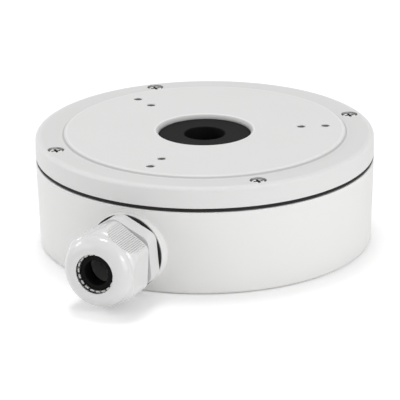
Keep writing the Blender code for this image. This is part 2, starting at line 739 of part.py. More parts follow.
def gland_seal():
    """Rubber sleeve whose thick lip closes on the cable."""
    root_radius = GLAND_BORE - TOUCH_GAP
    sleeve_bore = root_radius - SEAL_SLEEVE_WALL
    lip_back = SEAL_FRONT - SEAL_LIP_LENGTH
    profile = [
        (SEAL_BORE, SEAL_FRONT),
        (SEAL_TIP_RADIUS, SEAL_FRONT),
        (root_radius, CLAW_SHOULDER),
        (root_radius, CLAW_BACK),
        (sleeve_bore, CLAW_BACK),
        (sleeve_bore, CLAW_SHOULDER),
        (SEAL_BORE, lip_back),
    ]
    return finish_part(along_gland(turned("gland_seal", profile, GLAND_STEPS)), BLACK_RUBBER)


def gland_nut():
    """Dome nut: ribbed hexagon at the back, smooth dome, round mouth."""
    outline = ribbed_hex_outline(
        NUT_ACROSS_FLATS,
        HEX_CORNER_RADIUS,
        NUT_TURN + 30,
        NUT_RIBS_PER_FLAT,
        NUT_RIB_HEIGHT,
        NUT_FLAT_STEPS,
    )
    circle = [Vector(p).normalized() for p in outline]

    def round_ring(radius, height):
        return [(p.x * radius, p.y * radius, height) for p in circle]

    hex_end = NUT_BACK + NUT_HEX_LENGTH
    dome_low = hex_end + NUT_SHOULDER
    dome_radius = NUT_ACROSS_FLATS / 2 - NUT_DOME_STEP
    face_radius = NUT_MOUTH_RADIUS + NUT_FACE_WIDTH
    rings = [
        round_ring(NUT_BORE, NUT_BACK),
        ring_at(outline, NUT_BACK),
        ring_at(outline, hex_end),
        round_ring(dome_radius, dome_low),
    ]
    for step in range(1, NUT_DOME_STEPS + 1):
        angle = math.pi / 2 * step / NUT_DOME_STEPS
        radius = face_radius + (dome_radius - face_radius) * math.cos(angle) ** NUT_DOME_POWER
        height = dome_low + (NUT_FRONT - dome_low) * math.sin(angle) ** NUT_DOME_POWER
        rings.append(round_ring(radius, height))
    rings += [
        round_ring(NUT_MOUTH_RADIUS, NUT_FRONT),
        round_ring(NUT_MOUTH_RADIUS, NUT_FRONT - NUT_MOUTH_LAND),
        round_ring(NUT_BORE, CLAW_SHOULDER),
    ]
    return finish_part(along_gland(loft("gland_nut", rings)), WHITE_NYLON)


base_housing()
cover_gasket()
cover_plate()
cable_grommet()
cover_screws()
screw_retainers()
rear_plug()
earth_terminal()
gland_body()
gland_washer()
gland_claw()
gland_seal()
gland_nut()
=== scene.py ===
import math

import bmesh
import bpy
from mathutils import Matrix, Vector


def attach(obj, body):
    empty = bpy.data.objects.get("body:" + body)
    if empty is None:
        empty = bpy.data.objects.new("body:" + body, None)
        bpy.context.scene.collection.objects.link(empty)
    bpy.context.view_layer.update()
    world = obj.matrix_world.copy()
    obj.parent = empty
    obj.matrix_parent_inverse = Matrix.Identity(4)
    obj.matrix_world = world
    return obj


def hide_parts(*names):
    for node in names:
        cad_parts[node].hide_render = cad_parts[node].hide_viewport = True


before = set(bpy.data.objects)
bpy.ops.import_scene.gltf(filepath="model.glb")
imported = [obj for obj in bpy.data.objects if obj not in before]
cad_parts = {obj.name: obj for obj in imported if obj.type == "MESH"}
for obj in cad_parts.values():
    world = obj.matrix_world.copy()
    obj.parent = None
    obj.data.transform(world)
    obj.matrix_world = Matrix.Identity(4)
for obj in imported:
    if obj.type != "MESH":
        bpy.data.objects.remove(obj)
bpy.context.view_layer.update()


# Base housing: a pressure die casting in aluminium, drafted so that it leaves its die, with a
# round boss for the gland and four columns for the cover screws. It is blasted and powder
# coated white all over, then drilled and tapped. Sizes are in metres, +Z out of the wall.
TOUCH_GAP = 0.0003
BODY_RADIUS = 0.0785
FOOT_RADIUS = 0.0773
WALL = 0.0032
FLOOR = 0.003
BASE_TOP = 0.0393
SCREW_CIRCLE = 0.0721
EARTH_ANGLE = 157.0
EARTH_CIRCLE = 0.0609
SCREW_HOLE = 0.0023
COLUMN_RADIUS = 0.005
COLUMN_TAP_BOTTOM = 0.0273
WALL_HOLE_CIRCLE = 0.055
WALL_HOLE = 0.0025
WALL_PAD = 0.0065
REAR_HOLE_OFFSET = 0.026
REAR_HOLE = 0.011
REAR_SEAT = 0.0125
REAR_SEAT_DEPTH = 0.0012
EARTH_BOSS = 0.0042
EARTH_BOSS_TOP = 0.009
GLAND_HEIGHT = 0.0194
GLAND_BOSS = 0.0178
GLAND_BOSS_REACH = 0.081
GLAND_HOLE = 0.0128
GLAND_BOSS_ROOT = 0.0721
GLAND_BOSS_EDGE = 0.0005
GLAND_DRILL = (0.064, 0.09)
FOOT_EDGE = 0.0012
TOP_EDGE = 0.0003
ROOT_FILLET = 0.003
PAD_RISE = 0.0012
PAD_EDGE = 0.0004
EARTH_TAP = 0.0023
DRILL_TOP = 0.05
EARTH_DRILL_TOP = 0.02
CUT_REACH = 0.006
RING_STEPS = 240
BOSS_STEPS = 128
BORE_STEPS = 96
PAD_STEPS = 48
ROD_STEPS = 40
MERGE_REACH = 0.0000005
FLAT_LIMIT = 0.1


def turned(name, rows):
    """A mesh object of turned solids, from (x, y, (radius, height) points, facets) rows.

    A profile that touches the axis at both ends is left open there, and any other is closed.
    """
    shape = bmesh.new()
    for x, y, profile, facets in rows:
        verts = [shape.verts.new((x + radius, y, z)) for radius, z in profile]
        pairs = list(zip(verts, verts[1:]))
        if profile[0][0] > 0.0 or profile[-1][0] > 0.0:
            pairs.append((verts[-1], verts[0]))
        edges = [shape.edges.new(pair) for pair in pairs]
        bmesh.ops.spin(
            shape,
            geom=verts + edges,
            cent=(x, y, 0.0),
            axis=(0.0, 0.0, 1.0),
            angle=2 * math.pi,
            steps=facets,
        )
    bmesh.ops.remove_doubles(shape, verts=shape.verts, dist=MERGE_REACH)
    bmesh.ops.dissolve_limit(
        shape, angle_limit=math.radians(FLAT_LIMIT), verts=shape.verts, edges=shape.edges
    )
    bmesh.ops.recalc_face_normals(shape, faces=shape.faces)
    return placed(name, shape)


def placed(name, shape):
    """A mesh object of the scene from finished geometry, which is released."""
    mesh = bpy.data.meshes.new(name)
    shape.to_mesh(mesh)
    shape.free()
    piece = bpy.data.objects.new(name, mesh)
    bpy.context.scene.collection.objects.link(piece)
    return piece


def rod(radius, low, high):
    """The profile of a plain rod or hole between two heights."""
    return [(0.0, high), (radius, high), (radius, low), (0.0, low)]


def soft_rod(radius, low, high, edge):
    """The profile of a rod whose upper edge is rounded, as powder coat leaves it."""
    return [(0.0, high), *corner(radius, high, edge, 90, 0, 4), (radius, low), (0.0, low)]


def corner(radius, height, rounding, start, end, steps):
    """A rounded corner of a profile, between two angles in degrees.

    The radius and the height are those of the point where its two sides would meet.
    """
    middle = math.radians((start + end) / 2)
    centre_radius = radius - math.copysign(rounding, math.cos(middle))
    centre_height = height - math.copysign(rounding, math.sin(middle))
    points = []
    for i in range(steps + 1):
        angle = math.radians(start + (end - start) * i / steps)
        points.append(
            (centre_radius + rounding * math.cos(angle), centre_height + rounding * math.sin(angle))
        )
    return points


def around(radius, angles):
    """Places on a circle about the box's axis, angles in degrees."""
    turns = [math.radians(angle) for angle in angles]
    return [(radius * math.cos(turn), radius * math.sin(turn)) for turn in turns]


def combine(piece, tool, operation):
    """Add the tool solid to the piece or cut it away, then remove the tool."""
    step = piece.modifiers.new(tool.name, "BOOLEAN")
    step.operation = operation
    step.solver = "EXACT"
    step.object = tool
    settle(piece)
    bpy.data.objects.remove(tool, do_unlink=True)


def settle(piece):
    """Replace the piece's mesh by its evaluated one, with no modifier left."""
    graph = bpy.context.evaluated_depsgraph_get()
    done = bpy.data.meshes.new_from_object(piece.evaluated_get(graph))
    piece.modifiers.clear()
    piece.data = done


def dress(piece, material, sharp=32):
    """Give the finish, and shade round faces smooth and flat faces flat."""
    piece.data.materials.clear()
    piece.data.materials.append(material)
    piece.data.shade_smooth()
    piece.data.set_sharp_from_angle(angle=math.radians(sharp))
    even = piece.modifiers.new("even shading", "WEIGHTED_NORMAL")
    even.keep_sharp = True
    even.weight = 80


def along_gland(piece):
    """Lay a shape turned about Z along the gland's axis, which points along -Y."""
    piece.data.transform(
        Matrix.Translation((0.0, 0.0, GLAND_HEIGHT)) @ Matrix.Rotation(math.pi / 2, 4, "X")
    )
    return piece


def shader_group(name, inputs, outputs):
    """An empty shader node group with named number inputs and the outputs asked for."""
    group = bpy.data.node_groups.new(name, "ShaderNodeTree")
    for socket, value in inputs:
        made = group.interface.new_socket(socket, in_out="INPUT", socket_type="NodeSocketFloat")
        made.default_value = value
    for socket, kind in outputs:
        group.interface.new_socket(socket, in_out="OUTPUT", socket_type=kind)
    return group, group.nodes.new("NodeGroupInput"), group.nodes.new("NodeGroupOutput")


def calculate(group, operation, *values):
    """A Math node of the group with its sockets linked or set, and its result."""
    node = group.nodes.new("ShaderNodeMath")
    node.operation = operation
    for socket, value in zip(node.inputs, values):
        if isinstance(value, (int, float)):
            socket.default_value = value
        else:
            group.links.new(value, socket)
    return node.outputs[0]


def make_coat_grain():
    """Fine orange peel of a powder coat, with a slow mottle of its shade."""
    group, given, result = shader_group(
        "coat_grain",
        [("Peel Size", 0.0007), ("Mottle Size", 0.03), ("Detail", 3.0)],
        [("Height", "NodeSocketFloat"), ("Mottle", "NodeSocketFloat")],
    )
    place = group.nodes.new("ShaderNodeTexCoord")
    for socket, size, target in (
        ("Peel", given.outputs["Peel Size"], "Height"),
        ("Mottle", given.outputs["Mottle Size"], "Mottle"),
    ):
        pattern = group.nodes.new("ShaderNodeTexNoise")
        pattern.label = socket
        group.links.new(place.outputs["Object"], pattern.inputs["Vector"])
        group.links.new(calculate(group, "DIVIDE", 1.0, size), pattern.inputs["Scale"])
        group.links.new(given.outputs["Detail"], pattern.inputs["Detail"])
        group.links.new(pattern.outputs["Fac"], result.inputs[target])
    return group


COAT_GRAIN = make_coat_grain()


def new_finish(name):
    """A material with its Principled shader and node tree."""
    material = bpy.data.materials.new(name)
    material.use_nodes = True
    tree = material.node_tree
    return material, tree, tree.nodes["Principled BSDF"]


def place_group(tree, group, **values):
    """A node of the group in a material, with its named inputs set."""
    node = tree.nodes.new("ShaderNodeGroup")
    node.node_tree = group
    for socket, value in values.items():
        node.inputs[socket.replace("_", " ")].default_value = value
    return node


def mix_colours(tree, share, first, second):
    """Mix two colours, or a linked colour and a colour, by a linked share."""
    node = tree.nodes.new("ShaderNodeMix")
    node.data_type = "RGBA"
    tree.links.new(share, node.inputs["Factor"])
    for socket, colour in (("A", first), ("B", second)):
        target = next(s for s in node.inputs if s.name == socket and s.type == "RGBA")
        if isinstance(colour, tuple):
            target.default_value = (*colour, 1.0)
        else:
            tree.links.new(colour, target)
    return next(s for s in node.outputs if s.type == "RGBA")


def spread(tree, share, low, high):
    """A linked share of 0 to 1 turned into a value between low and high."""
    node = tree.nodes.new("ShaderNodeMapRange")
    tree.links.new(share, node.inputs["Value"])
    node.inputs["To Min"].default_value = low
    node.inputs["To Max"].default_value = high
    return node.outputs["Result"]


def add_bump(tree, shader, height, distance, strength=1.0):
    """Feed a height to the shader's normal."""
    node = tree.nodes.new("ShaderNodeBump")
    node.inputs["Strength"].default_value = strength
    node.inputs["Distance"].default_value = distance
    tree.links.new(height, node.inputs["Height"])
    tree.links.new(node.outputs["Normal"], shader.inputs["Normal"])


COAT_ROUGHNESS = (0.44, 0.52)
COAT_SHINE = 0.35
PEEL_HEIGHT = 0.00002
PEEL_STRENGTH = 0.5


def powder_coat(name, light, dark):
    """White powder coat that drifts between a lighter and a darker shade."""
    material, tree, shader = new_finish(name)
    grain = place_group(tree, COAT_GRAIN, Peel_Size=0.0006, Mottle_Size=0.035, Detail=2.0)
    mottle = grain.outputs["Mottle"]
    tree.links.new(mix_colours(tree, mottle, light, dark), shader.inputs["Base Color"])
    tree.links.new(spread(tree, mottle, *COAT_ROUGHNESS), shader.inputs["Roughness"])
    shader.inputs["Specular IOR Level"].default_value = COAT_SHINE
    add_bump(tree, shader, grain.outputs["Height"], PEEL_HEIGHT, PEEL_STRENGTH)
    return material


# The housing's coat is the cover's white coat set lighter, as painted light that makes the walls
# brighter.
HOUSING_COAT_PAINTED_LIGHTER = powder_coat("housing_coat_painted_lighter", (0.757, 0.755, 0.749), (0.734, 0.732, 0.726))
SCREW_ANGLES = (45, 135, 225, 315)
SCREW_PLACES = around(SCREW_CIRCLE, SCREW_ANGLES)
EARTH_PLACE = around(EARTH_CIRCLE, (EARTH_ANGLE,))[0]
WALL_HOLE_PLACES = around(WALL_HOLE_CIRCLE, (0, 90, 180, 270))

inner_foot = FOOT_RADIUS - WALL
cup = [(0.0, FLOOR)]
cup += corner(inner_foot, FLOOR, ROOT_FILLET, -90, 0, 6)
cup += [(BODY_RADIUS - WALL, BASE_TOP)]
cup += corner(BODY_RADIUS, BASE_TOP, TOP_EDGE, 90, 0, 3)
cup += corner(FOOT_RADIUS, 0.0, FOOT_EDGE, 0, -90, 4)
cup += [(0.0, 0.0)]
housing = turned("base_housing_coated", [(0.0, 0.0, cup, RING_STEPS)])
root = FLOOR / 2
raised = [(x, y, rod(COLUMN_RADIUS, root, BASE_TOP), ROD_STEPS) for x, y in SCREW_PLACES]
wall_pad = soft_rod(WALL_PAD, root, FLOOR + PAD_RISE, PAD_EDGE)
raised += [(x, y, wall_pad, PAD_STEPS) for x, y in WALL_HOLE_PLACES]
raised += [(*EARTH_PLACE, soft_rod(EARTH_BOSS, root, EARTH_BOSS_TOP, PAD_EDGE), ROD_STEPS)]
combine(housing, turned("floor_bosses", raised), "UNION")
boss_profile = soft_rod(GLAND_BOSS, GLAND_BOSS_ROOT, GLAND_BOSS_REACH, GLAND_BOSS_EDGE)
gland_boss = along_gland(turned("gland_boss", [(0.0, 0.0, boss_profile, BOSS_STEPS)]))
combine(housing, gland_boss, "UNION")
screw_tap = rod(SCREW_HOLE, COLUMN_TAP_BOTTOM, DRILL_TOP)
drilled = [(x, y, screw_tap, ROD_STEPS) for x, y in SCREW_PLACES]
wall_hole = rod(WALL_HOLE, -CUT_REACH, 2 * CUT_REACH)
drilled += [(x, y, wall_hole, ROD_STEPS) for x, y in WALL_HOLE_PLACES]
drilled += [(*EARTH_PLACE, rod(EARTH_TAP, FLOOR, EARTH_DRILL_TOP), ROD_STEPS)]
rear_profile = [
    (0.0, 2 * CUT_REACH),
    (REAR_HOLE, 2 * CUT_REACH),
    (REAR_HOLE, REAR_SEAT_DEPTH),
    (REAR_SEAT, REAR_SEAT_DEPTH),
    (REAR_SEAT, -CUT_REACH),
    (0.0, -CUT_REACH),
]
drilled += [(0.0, REAR_HOLE_OFFSET, rear_profile, BORE_STEPS)]
combine(housing, turned("base_holes", drilled), "DIFFERENCE")
gland_hole = [(0.0, 0.0, rod(GLAND_HOLE, *GLAND_DRILL), BORE_STEPS)]
combine(housing, along_gland(turned("gland_hole", gland_hole)), "DIFFERENCE")
dress(housing, HOUSING_COAT_PAINTED_LIGHTER)
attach(housing, "base")
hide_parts("base_housing")


# Rear plug: a moulded rubber plug with a groove round it. It is pushed into the cable hole in
# the floor, whose rim it grips, and is taken out when the cable comes from behind.
PLUG_WEB_TOP = 0.0025
PLUG_WEB_INSET = 0.0028
PLUG_NECK_WALL = 0.0012
PLUG_FLANGE_WIDTH = 0.0025
PLUG_FLANGE_HEIGHT = 0.002
PLUG_INNER_ROUND = 0.0006
PLUG_OUTER_ROUND = 0.0008
PLUG_LIP_ROUND = 0.0003
BLOOM_GAIN = 1.5
BLOOM_LIFT = 0.002
RUBBER_PATCHES = 0.08
RUBBER_GRAIN_HEIGHT = 0.00003
RUBBER_GRAIN_STRENGTH = 0.6


def rubber(name, colour, grain_size, roughness, shine):
    """Black rubber with a fine moulded grain and a faint bloom."""
    material, tree, shader = new_finish(name)
    grain = place_group(tree, COAT_GRAIN, Peel_Size=grain_size, Mottle_Size=0.012, Detail=4.0)
    bloom = tuple(BLOOM_GAIN * shade + BLOOM_LIFT for shade in colour)
    tree.links.new(
        mix_colours(tree, grain.outputs["Mottle"], colour, bloom), shader.inputs["Base Color"]
    )
    smooth = roughness - RUBBER_PATCHES
    rough = roughness + RUBBER_PATCHES
    tree.links.new(
        spread(tree, grain.outputs["Height"], smooth, rough), shader.inputs["Roughness"]
    )
    shader.inputs["Specular IOR Level"].default_value = shine
    add_bump(tree, shader, grain.outputs["Height"], RUBBER_GRAIN_HEIGHT, RUBBER_GRAIN_STRENGTH)
    return material


SEAL_RUBBER = rubber("seal_rubber", (0.014, 0.014, 0.014), 0.0004, 0.68, 0.15)

plug_neck = REAR_HOLE - TOUCH_GAP
plug_lip = REAR_SEAT - TOUCH_GAP
plug_flange = REAR_HOLE + PLUG_FLANGE_WIDTH
plug_top = FLOOR + TOUCH_GAP + PLUG_FLANGE_HEIGHT
plug_profile = [(0.0, PLUG_WEB_TOP), (plug_neck - PLUG_WEB_INSET, PLUG_WEB_TOP)]
plug_profile += corner(plug_neck - PLUG_NECK_WALL, plug_top, PLUG_INNER_ROUND, 180, 90, 4)
plug_profile += corner(plug_flange, plug_top, PLUG_OUTER_ROUND, 90, 0, 4)
plug_profile += [
    (plug_flange, FLOOR + TOUCH_GAP),
    (plug_neck, FLOOR + TOUCH_GAP),
    (plug_neck, REAR_SEAT_DEPTH - TOUCH_GAP),
    (plug_lip, REAR_SEAT_DEPTH - TOUCH_GAP),
]
plug_profile += corner(plug_lip, TOUCH_GAP, PLUG_LIP_ROUND, 0, -90, 3)
plug_profile += [(0.0, TOUCH_GAP)]
plug = turned("rear_plug_moulded", [(0.0, REAR_HOLE_OFFSET, plug_profile, BORE_STEPS)])
dress(plug, SEAL_RUBBER)
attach(plug, "base")
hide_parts("rear_plug")


# Earth terminal: a slotted pan-head screw and a plain washer in bright steel, on the boss in
# the floor where the earth wire is clamped.
EARTH_WASHER_INNER = 0.0023
EARTH_WASHER_OUTER = 0.0046
EARTH_WASHER_THICK = 0.0008
EARTH_WASHER_EDGE = 0.0001
EARTH_WASHER_STEPS = 64
EARTH_HEAD_RADIUS = 0.0038
EARTH_HEAD_HEIGHT = 0.0026
EARTH_SHANK_LENGTH = 0.006
EARTH_SLOT_SIZE = (0.012, 0.0009, 0.0028)
EARTH_SLOT_TURN = 20
SHANK_RADIUS = 0.002
SHANK_TIP = 0.001
SHANK_TIP_INSET = 0.0006
HEAD_EDGE = 0.00005
THREAD_PITCH = 0.0007
THREAD_DEPTH = 0.00028
THREAD_START = 0.0008
THREAD_STEPS = 6
SCREW_STEPS = 36
DULL_SHARE = 0.72
STEEL_PATCHES = (-0.08, 0.12)
WAVE_PERIOD = math.pi / 10
MARK_HEIGHT = 0.00001
MARK_STRENGTH = 0.5


def make_turning_marks():
    """Fine rings that a lathe leaves, as a height over the radius about a piece's own Z axis."""
    group, given, result = shader_group(
        "turning_marks", [("Ring Spacing", 0.000754)], [("Height", "NodeSocketFloat")]
    )
    place = group.nodes.new("ShaderNodeTexCoord")
    rings = group.nodes.new("ShaderNodeTexWave")
    rings.wave_type = "RINGS"
    rings.rings_direction = "Z"
    group.links.new(place.outputs["Object"], rings.inputs["Vector"])
    group.links.new(
        calculate(group, "DIVIDE", WAVE_PERIOD, given.outputs["Ring Spacing"]),
        rings.inputs["Scale"],
    )
    group.links.new(rings.outputs["Fac"], result.inputs["Height"])
    return group


TURNING_MARKS = make_turning_marks()


def bright_metal(name, colour, roughness):
    """Plated or bare cut metal: fine turning rings and a patchy roughness."""
    material, tree, shader = new_finish(name)
    grain = place_group(tree, COAT_GRAIN, Peel_Size=0.0005, Mottle_Size=0.002, Detail=3.0)
    marks = place_group(tree, TURNING_MARKS)
    dull = tuple(DULL_SHARE * shade for shade in colour)
    smooth, rough = (roughness + patch for patch in STEEL_PATCHES)
    tree.links.new(
        mix_colours(tree, grain.outputs["Mottle"], colour, dull), shader.inputs["Base Color"]
    )
    tree.links.new(
        spread(tree, grain.outputs["Height"], smooth, rough), shader.inputs["Roughness"]
    )
    shader.inputs["Metallic"].default_value = 1.0
    add_bump(tree, shader, marks.outputs["Height"], MARK_HEIGHT, MARK_STRENGTH)
    return material


PLATED_STEEL = bright_metal("plated_steel", (0.8, 0.795, 0.785), 0.2)


def screw_shape(name, head_radius, head_height, shank_length):
    """A pan-head machine screw with a real helical thread, its head resting at height 0."""
    shape = bmesh.new()
    rounded = corner(head_radius, head_height, head_height / 3, 90, 0, 5)
    under = [(head_radius, HEAD_EDGE), (head_radius - HEAD_EDGE, 0.0), (SHANK_RADIUS, 0.0)]
    rings = [(radius, height, 0.0) for radius, height in [(0.0, head_height), *rounded, *under]]
    thread_length = shank_length - 2 * THREAD_START
    steps = int((shank_length - SHANK_TIP) / (THREAD_PITCH / THREAD_STEPS))
    for i in range(steps):
        rings.append((SHANK_RADIUS, -THREAD_START - thread_length * i / steps, THREAD_DEPTH))
    rings += [(SHANK_RADIUS - SHANK_TIP_INSET, -shank_length, 0.0), (0.0, -shank_length, 0.0)]
    rows = []
    for radius, height, groove in rings:
        row = []
        for j in range(SCREW_STEPS):
            turn = j / SCREW_STEPS
            phase = (height / THREAD_PITCH - turn) % 1.0
            cut = groove * (1.0 - abs(2.0 * phase - 1.0))
            angle = 2 * math.pi * turn
            reach = radius - cut
            row.append(shape.verts.new((reach * math.cos(angle), reach * math.sin(angle), height)))
        rows.append(row)
    for upper, lower in zip(rows, rows[1:]):
        for j in range(SCREW_STEPS):
            k = (j + 1) % SCREW_STEPS
            shape.faces.new((upper[j], lower[j], lower[k], upper[k]))
    bmesh.ops.remove_doubles(shape, verts=shape.verts, dist=MERGE_REACH)
    bmesh.ops.recalc_face_normals(shape, faces=shape.faces)
    return placed(name, shape)


def block(name, size, place, turn=0.0):
    """A box-shaped cutter at a place, turned about Z in degrees."""
    shape = bmesh.new()
    bmesh.ops.create_cube(shape, size=1.0, matrix=Matrix.Diagonal((*size, 1.0)))
    piece = placed(name, shape)
    piece.data.transform(
        Matrix.Translation(place) @ Matrix.Rotation(math.radians(turn), 4, "Z")
    )
    return piece


washer_base = EARTH_BOSS_TOP + TOUCH_GAP
washer_top = washer_base + EARTH_WASHER_THICK
washer_profile = corner(EARTH_WASHER_INNER, washer_top, EARTH_WASHER_EDGE, 180, 90, 2)
washer_profile += corner(EARTH_WASHER_OUTER, washer_top, EARTH_WASHER_EDGE, 90, 0, 2)
washer_profile += [(EARTH_WASHER_OUTER, washer_base), (EARTH_WASHER_INNER, washer_base)]
washer = turned("earth_washer_plated", [(*EARTH_PLACE, washer_profile, EARTH_WASHER_STEPS)])
dress(washer, PLATED_STEEL)
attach(washer, "base")
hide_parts("earth_washer")

earth_screw = screw_shape(
    "earth_screw_plated", EARTH_HEAD_RADIUS, EARTH_HEAD_HEIGHT, EARTH_SHANK_LENGTH
)
slot_place = (0.0, 0.0, EARTH_HEAD_HEIGHT)
earth_slot = block("earth_slot", EARTH_SLOT_SIZE, slot_place, EARTH_SLOT_TURN)
combine(earth_screw, earth_slot, "DIFFERENCE")
earth_screw.location = (*EARTH_PLACE, washer_top + TOUCH_GAP)
dress(earth_screw, PLATED_STEEL)
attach(earth_screw, "base")
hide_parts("earth_screw")


# Cover gasket: a flat ring stamped from black rubber, with an ear round each cover screw. It
# lies on the rim of the base and shows as the black line under the cover.
GASKET_THICK = 0.0012
GASKET_EDGE = 0.0002
GASKET_INSET = 0.0003
EAR_REACH = 0.0665
PUNCH_LOW = 0.036
PUNCH_HIGH = 0.044
GASKET_LOW = BASE_TOP + TOUCH_GAP
GASKET_HIGH = GASKET_LOW + GASKET_THICK
GASKET_OUTER = BODY_RADIUS - GASKET_INSET

gasket_profile = [(EAR_REACH, GASKET_HIGH)]
gasket_profile += corner(GASKET_OUTER, GASKET_HIGH, GASKET_EDGE, 90, 0, 2)
gasket_profile += corner(GASKET_OUTER, GASKET_LOW, GASKET_EDGE, 0, -90, 2)
gasket_profile += [(EAR_REACH, GASKET_LOW)]
gasket = turned("cover_gasket_stamped", [(0.0, 0.0, gasket_profile, RING_STEPS)])
inside_profile = rod(BODY_RADIUS - WALL, PUNCH_LOW, PUNCH_HIGH)
gasket_inside = turned("gasket_inside", [(0.0, 0.0, inside_profile, RING_STEPS)])
ear_profile = rod(COLUMN_RADIUS, PUNCH_LOW - CUT_REACH, PUNCH_HIGH + CUT_REACH)
ears = [(x, y, ear_profile, ROD_STEPS) for x, y in SCREW_PLACES]
combine(gasket_inside, turned("gasket_ears", ears), "DIFFERENCE")
combine(gasket, gasket_inside, "DIFFERENCE")
hole_profile = rod(SCREW_HOLE, PUNCH_LOW - CUT_REACH, PUNCH_HIGH + CUT_REACH)
gasket_holes = [(x, y, hole_profile, ROD_STEPS) for x, y in SCREW_PLACES]
combine(gasket, turned("gasket_holes", gasket_holes), "DIFFERENCE")
dress(gasket, SEAL_RUBBER)
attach(gasket, "base")
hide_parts("cover_gasket")


# Cover plate: the second die casting, powder coated like the base. Its raised platform carries
# the camera, the ring round it takes the four screws, and the opening in the middle is stepped
# for the grommet. Ribs and tapped columns stand underneath.
COVER_SIDE = 0.0097
PLATE_THICK = 0.003
PLATE_DRAFT = 0.0006
PLATFORM_RISE = 0.0012
COVER_LOW = GASKET_HIGH + TOUCH_GAP
RIM_TOP = COVER_LOW + COVER_SIDE
PLATE_UNDER = RIM_TOP - PLATE_THICK
PLATFORM_TOP = RIM_TOP + PLATFORM_RISE
PLATFORM_RADIUS = 0.0648
PLATFORM_FOOT = 0.0663
PLATFORM_EDGE = (0.0006, 0.0001)
PLATFORM_ROOT = (0.0003, 0.0002)
RING_LIMIT = 0.0765
RIM_FILLET = 0.0018
OPENING = 0.0215
OPENING_FILLET = 0.0019
COLLAR = 0.0251
COLLAR_DEPTH = 0.0026
COLLAR_LOW = PLATE_UNDER - COLLAR_DEPTH
LEDGE = 0.0181
LEDGE_THICK = 0.0015
LEDGE_TOP = COLLAR_LOW + LEDGE_THICK
PAIR_ANGLES = (30, 150, 270)
INNER_CIRCLE = 0.045
OUTER_CIRCLE = 0.0563
TAP_PLACES = around(INNER_CIRCLE, PAIR_ANGLES) + around(OUTER_CIRCLE, PAIR_ANGLES)
TAP = 0.0019
TAP_CHAMFER = 0.0004
TAP_DEPTH = 0.007
TAP_FLOOR = PLATFORM_TOP - TAP_DEPTH
TAP_WALL = 0.0022
TAP_END = 0.0012
RIB_CIRCLE = 0.0501
RIB_LENGTH = 0.0536
RIB_THICK = 0.0025
RIB_FALL = 0.0035
COVER_COLUMN = 0.0056
HEAD_RADIUS = 0.0033
HEAD_HEIGHT = 0.0026
HEAD_SUNK = 0.0005
HEAD_UNDER = RIM_TOP - HEAD_SUNK - HEAD_HEIGHT
HEAD_PLAY = 0.00055
COUNTERBORE = HEAD_RADIUS + HEAD_PLAY
COUNTERBORE_STEPS = 56
RETAINER_HEIGHT = 0.0012
RETAINER_WALL = 0.0015
RETAINER_OUTER = SCREW_HOLE + RETAINER_WALL
BORE_TOP = 0.06
BORE_BOTTOM = 0.03
MARGIN = 0.0001


def make_radial_band():
    """Mask that is 1 between two radii about the object's own Z axis, with soft limits."""
    group, given, result = shader_group(
        "radial_band",
        [("Inner", 0.066), ("Outer", 0.077), ("Softness", 0.001)],
        [("Mask", "NodeSocketFloat")],
    )
    place = group.nodes.new("ShaderNodeTexCoord")
    split = group.nodes.new("ShaderNodeSeparateXYZ")
    group.links.new(place.outputs["Object"], split.inputs[0])
    square = calculate(
        group,
        "ADD",
        calculate(group, "POWER", split.outputs["X"], 2.0),
        calculate(group, "POWER", split.outputs["Y"], 2.0),
    )
    radius = calculate(group, "SQRT", square)
    rise = calculate(group, "SUBTRACT", radius, given.outputs["Inner"])
    fall = calculate(group, "SUBTRACT", given.outputs["Outer"], radius)
    nearest = calculate(group, "MINIMUM", rise, fall)
    share = calculate(group, "DIVIDE", nearest, given.outputs["Softness"])
    bounded = group.nodes.new("ShaderNodeClamp")
    group.links.new(share, bounded.inputs["Value"])
    group.links.new(bounded.outputs["Result"], result.inputs["Mask"])
    return group


def shade_rings(material, rings):
    """Shade a coat in rings about the box's axis, each (inner, outer, softness, shade)."""
    tree = material.node_tree
    coat = tree.nodes["Principled BSDF"].inputs["Base Color"]
    colour = coat.links[0].from_socket
    radial_band = make_radial_band()
    for inner, outer, softness, shade in rings:
        band = place_group(tree, radial_band, Inner=inner, Outer=outer, Softness=softness)
        colour = mix_colours(tree, band.outputs["Mask"], colour, shade)
    tree.links.new(colour, coat)


COVER_COAT = powder_coat("cover_coat", (0.702, 0.7, 0.697), (0.682, 0.68, 0.677))
SCREW_RING = (PLATFORM_FOOT, RING_LIMIT, 0.0012, (0.65, 0.649, 0.646))
# Painted shade: a dark band on the step down from the platform, where shade falls.
STEP_SHADE_RING = (PLATFORM_RADIUS + 0.0002, PLATFORM_FOOT, 0.0004, (0.46, 0.46, 0.455))
# Painted highlight: a lighter band just inside the platform's rounded edge.
EDGE_HIGHLIGHT_RING = (PLATFORM_RADIUS - 0.0011, PLATFORM_RADIUS - 0.0003, 0.0003, (0.76, 0.76, 0.755))
# Painted shade: darker coat in and round the opening, on its wall and fillet.
OPENING_SHADE_RING = (0.0, OPENING + 0.0014, 0.0008, (0.5, 0.5, 0.495))
# Painted highlight: a light band on the opening's rounded top edge.
OPENING_HIGHLIGHT_RING = (OPENING + 0.0012, OPENING + 0.0019, 0.0003, (0.82, 0.82, 0.815))
shade_rings(COVER_COAT, (SCREW_RING, STEP_SHADE_RING, EDGE_HIGHLIGHT_RING, OPENING_SHADE_RING, OPENING_HIGHLIGHT_RING))
# Bare metal of the drilled holes, made darker as painted shade inside the tapped holes and on the
# counterbore walls.
BARE_METAL_AND_SHADE = bright_metal("bare_metal_and_shade", (0.5, 0.5, 0.49), 0.5)

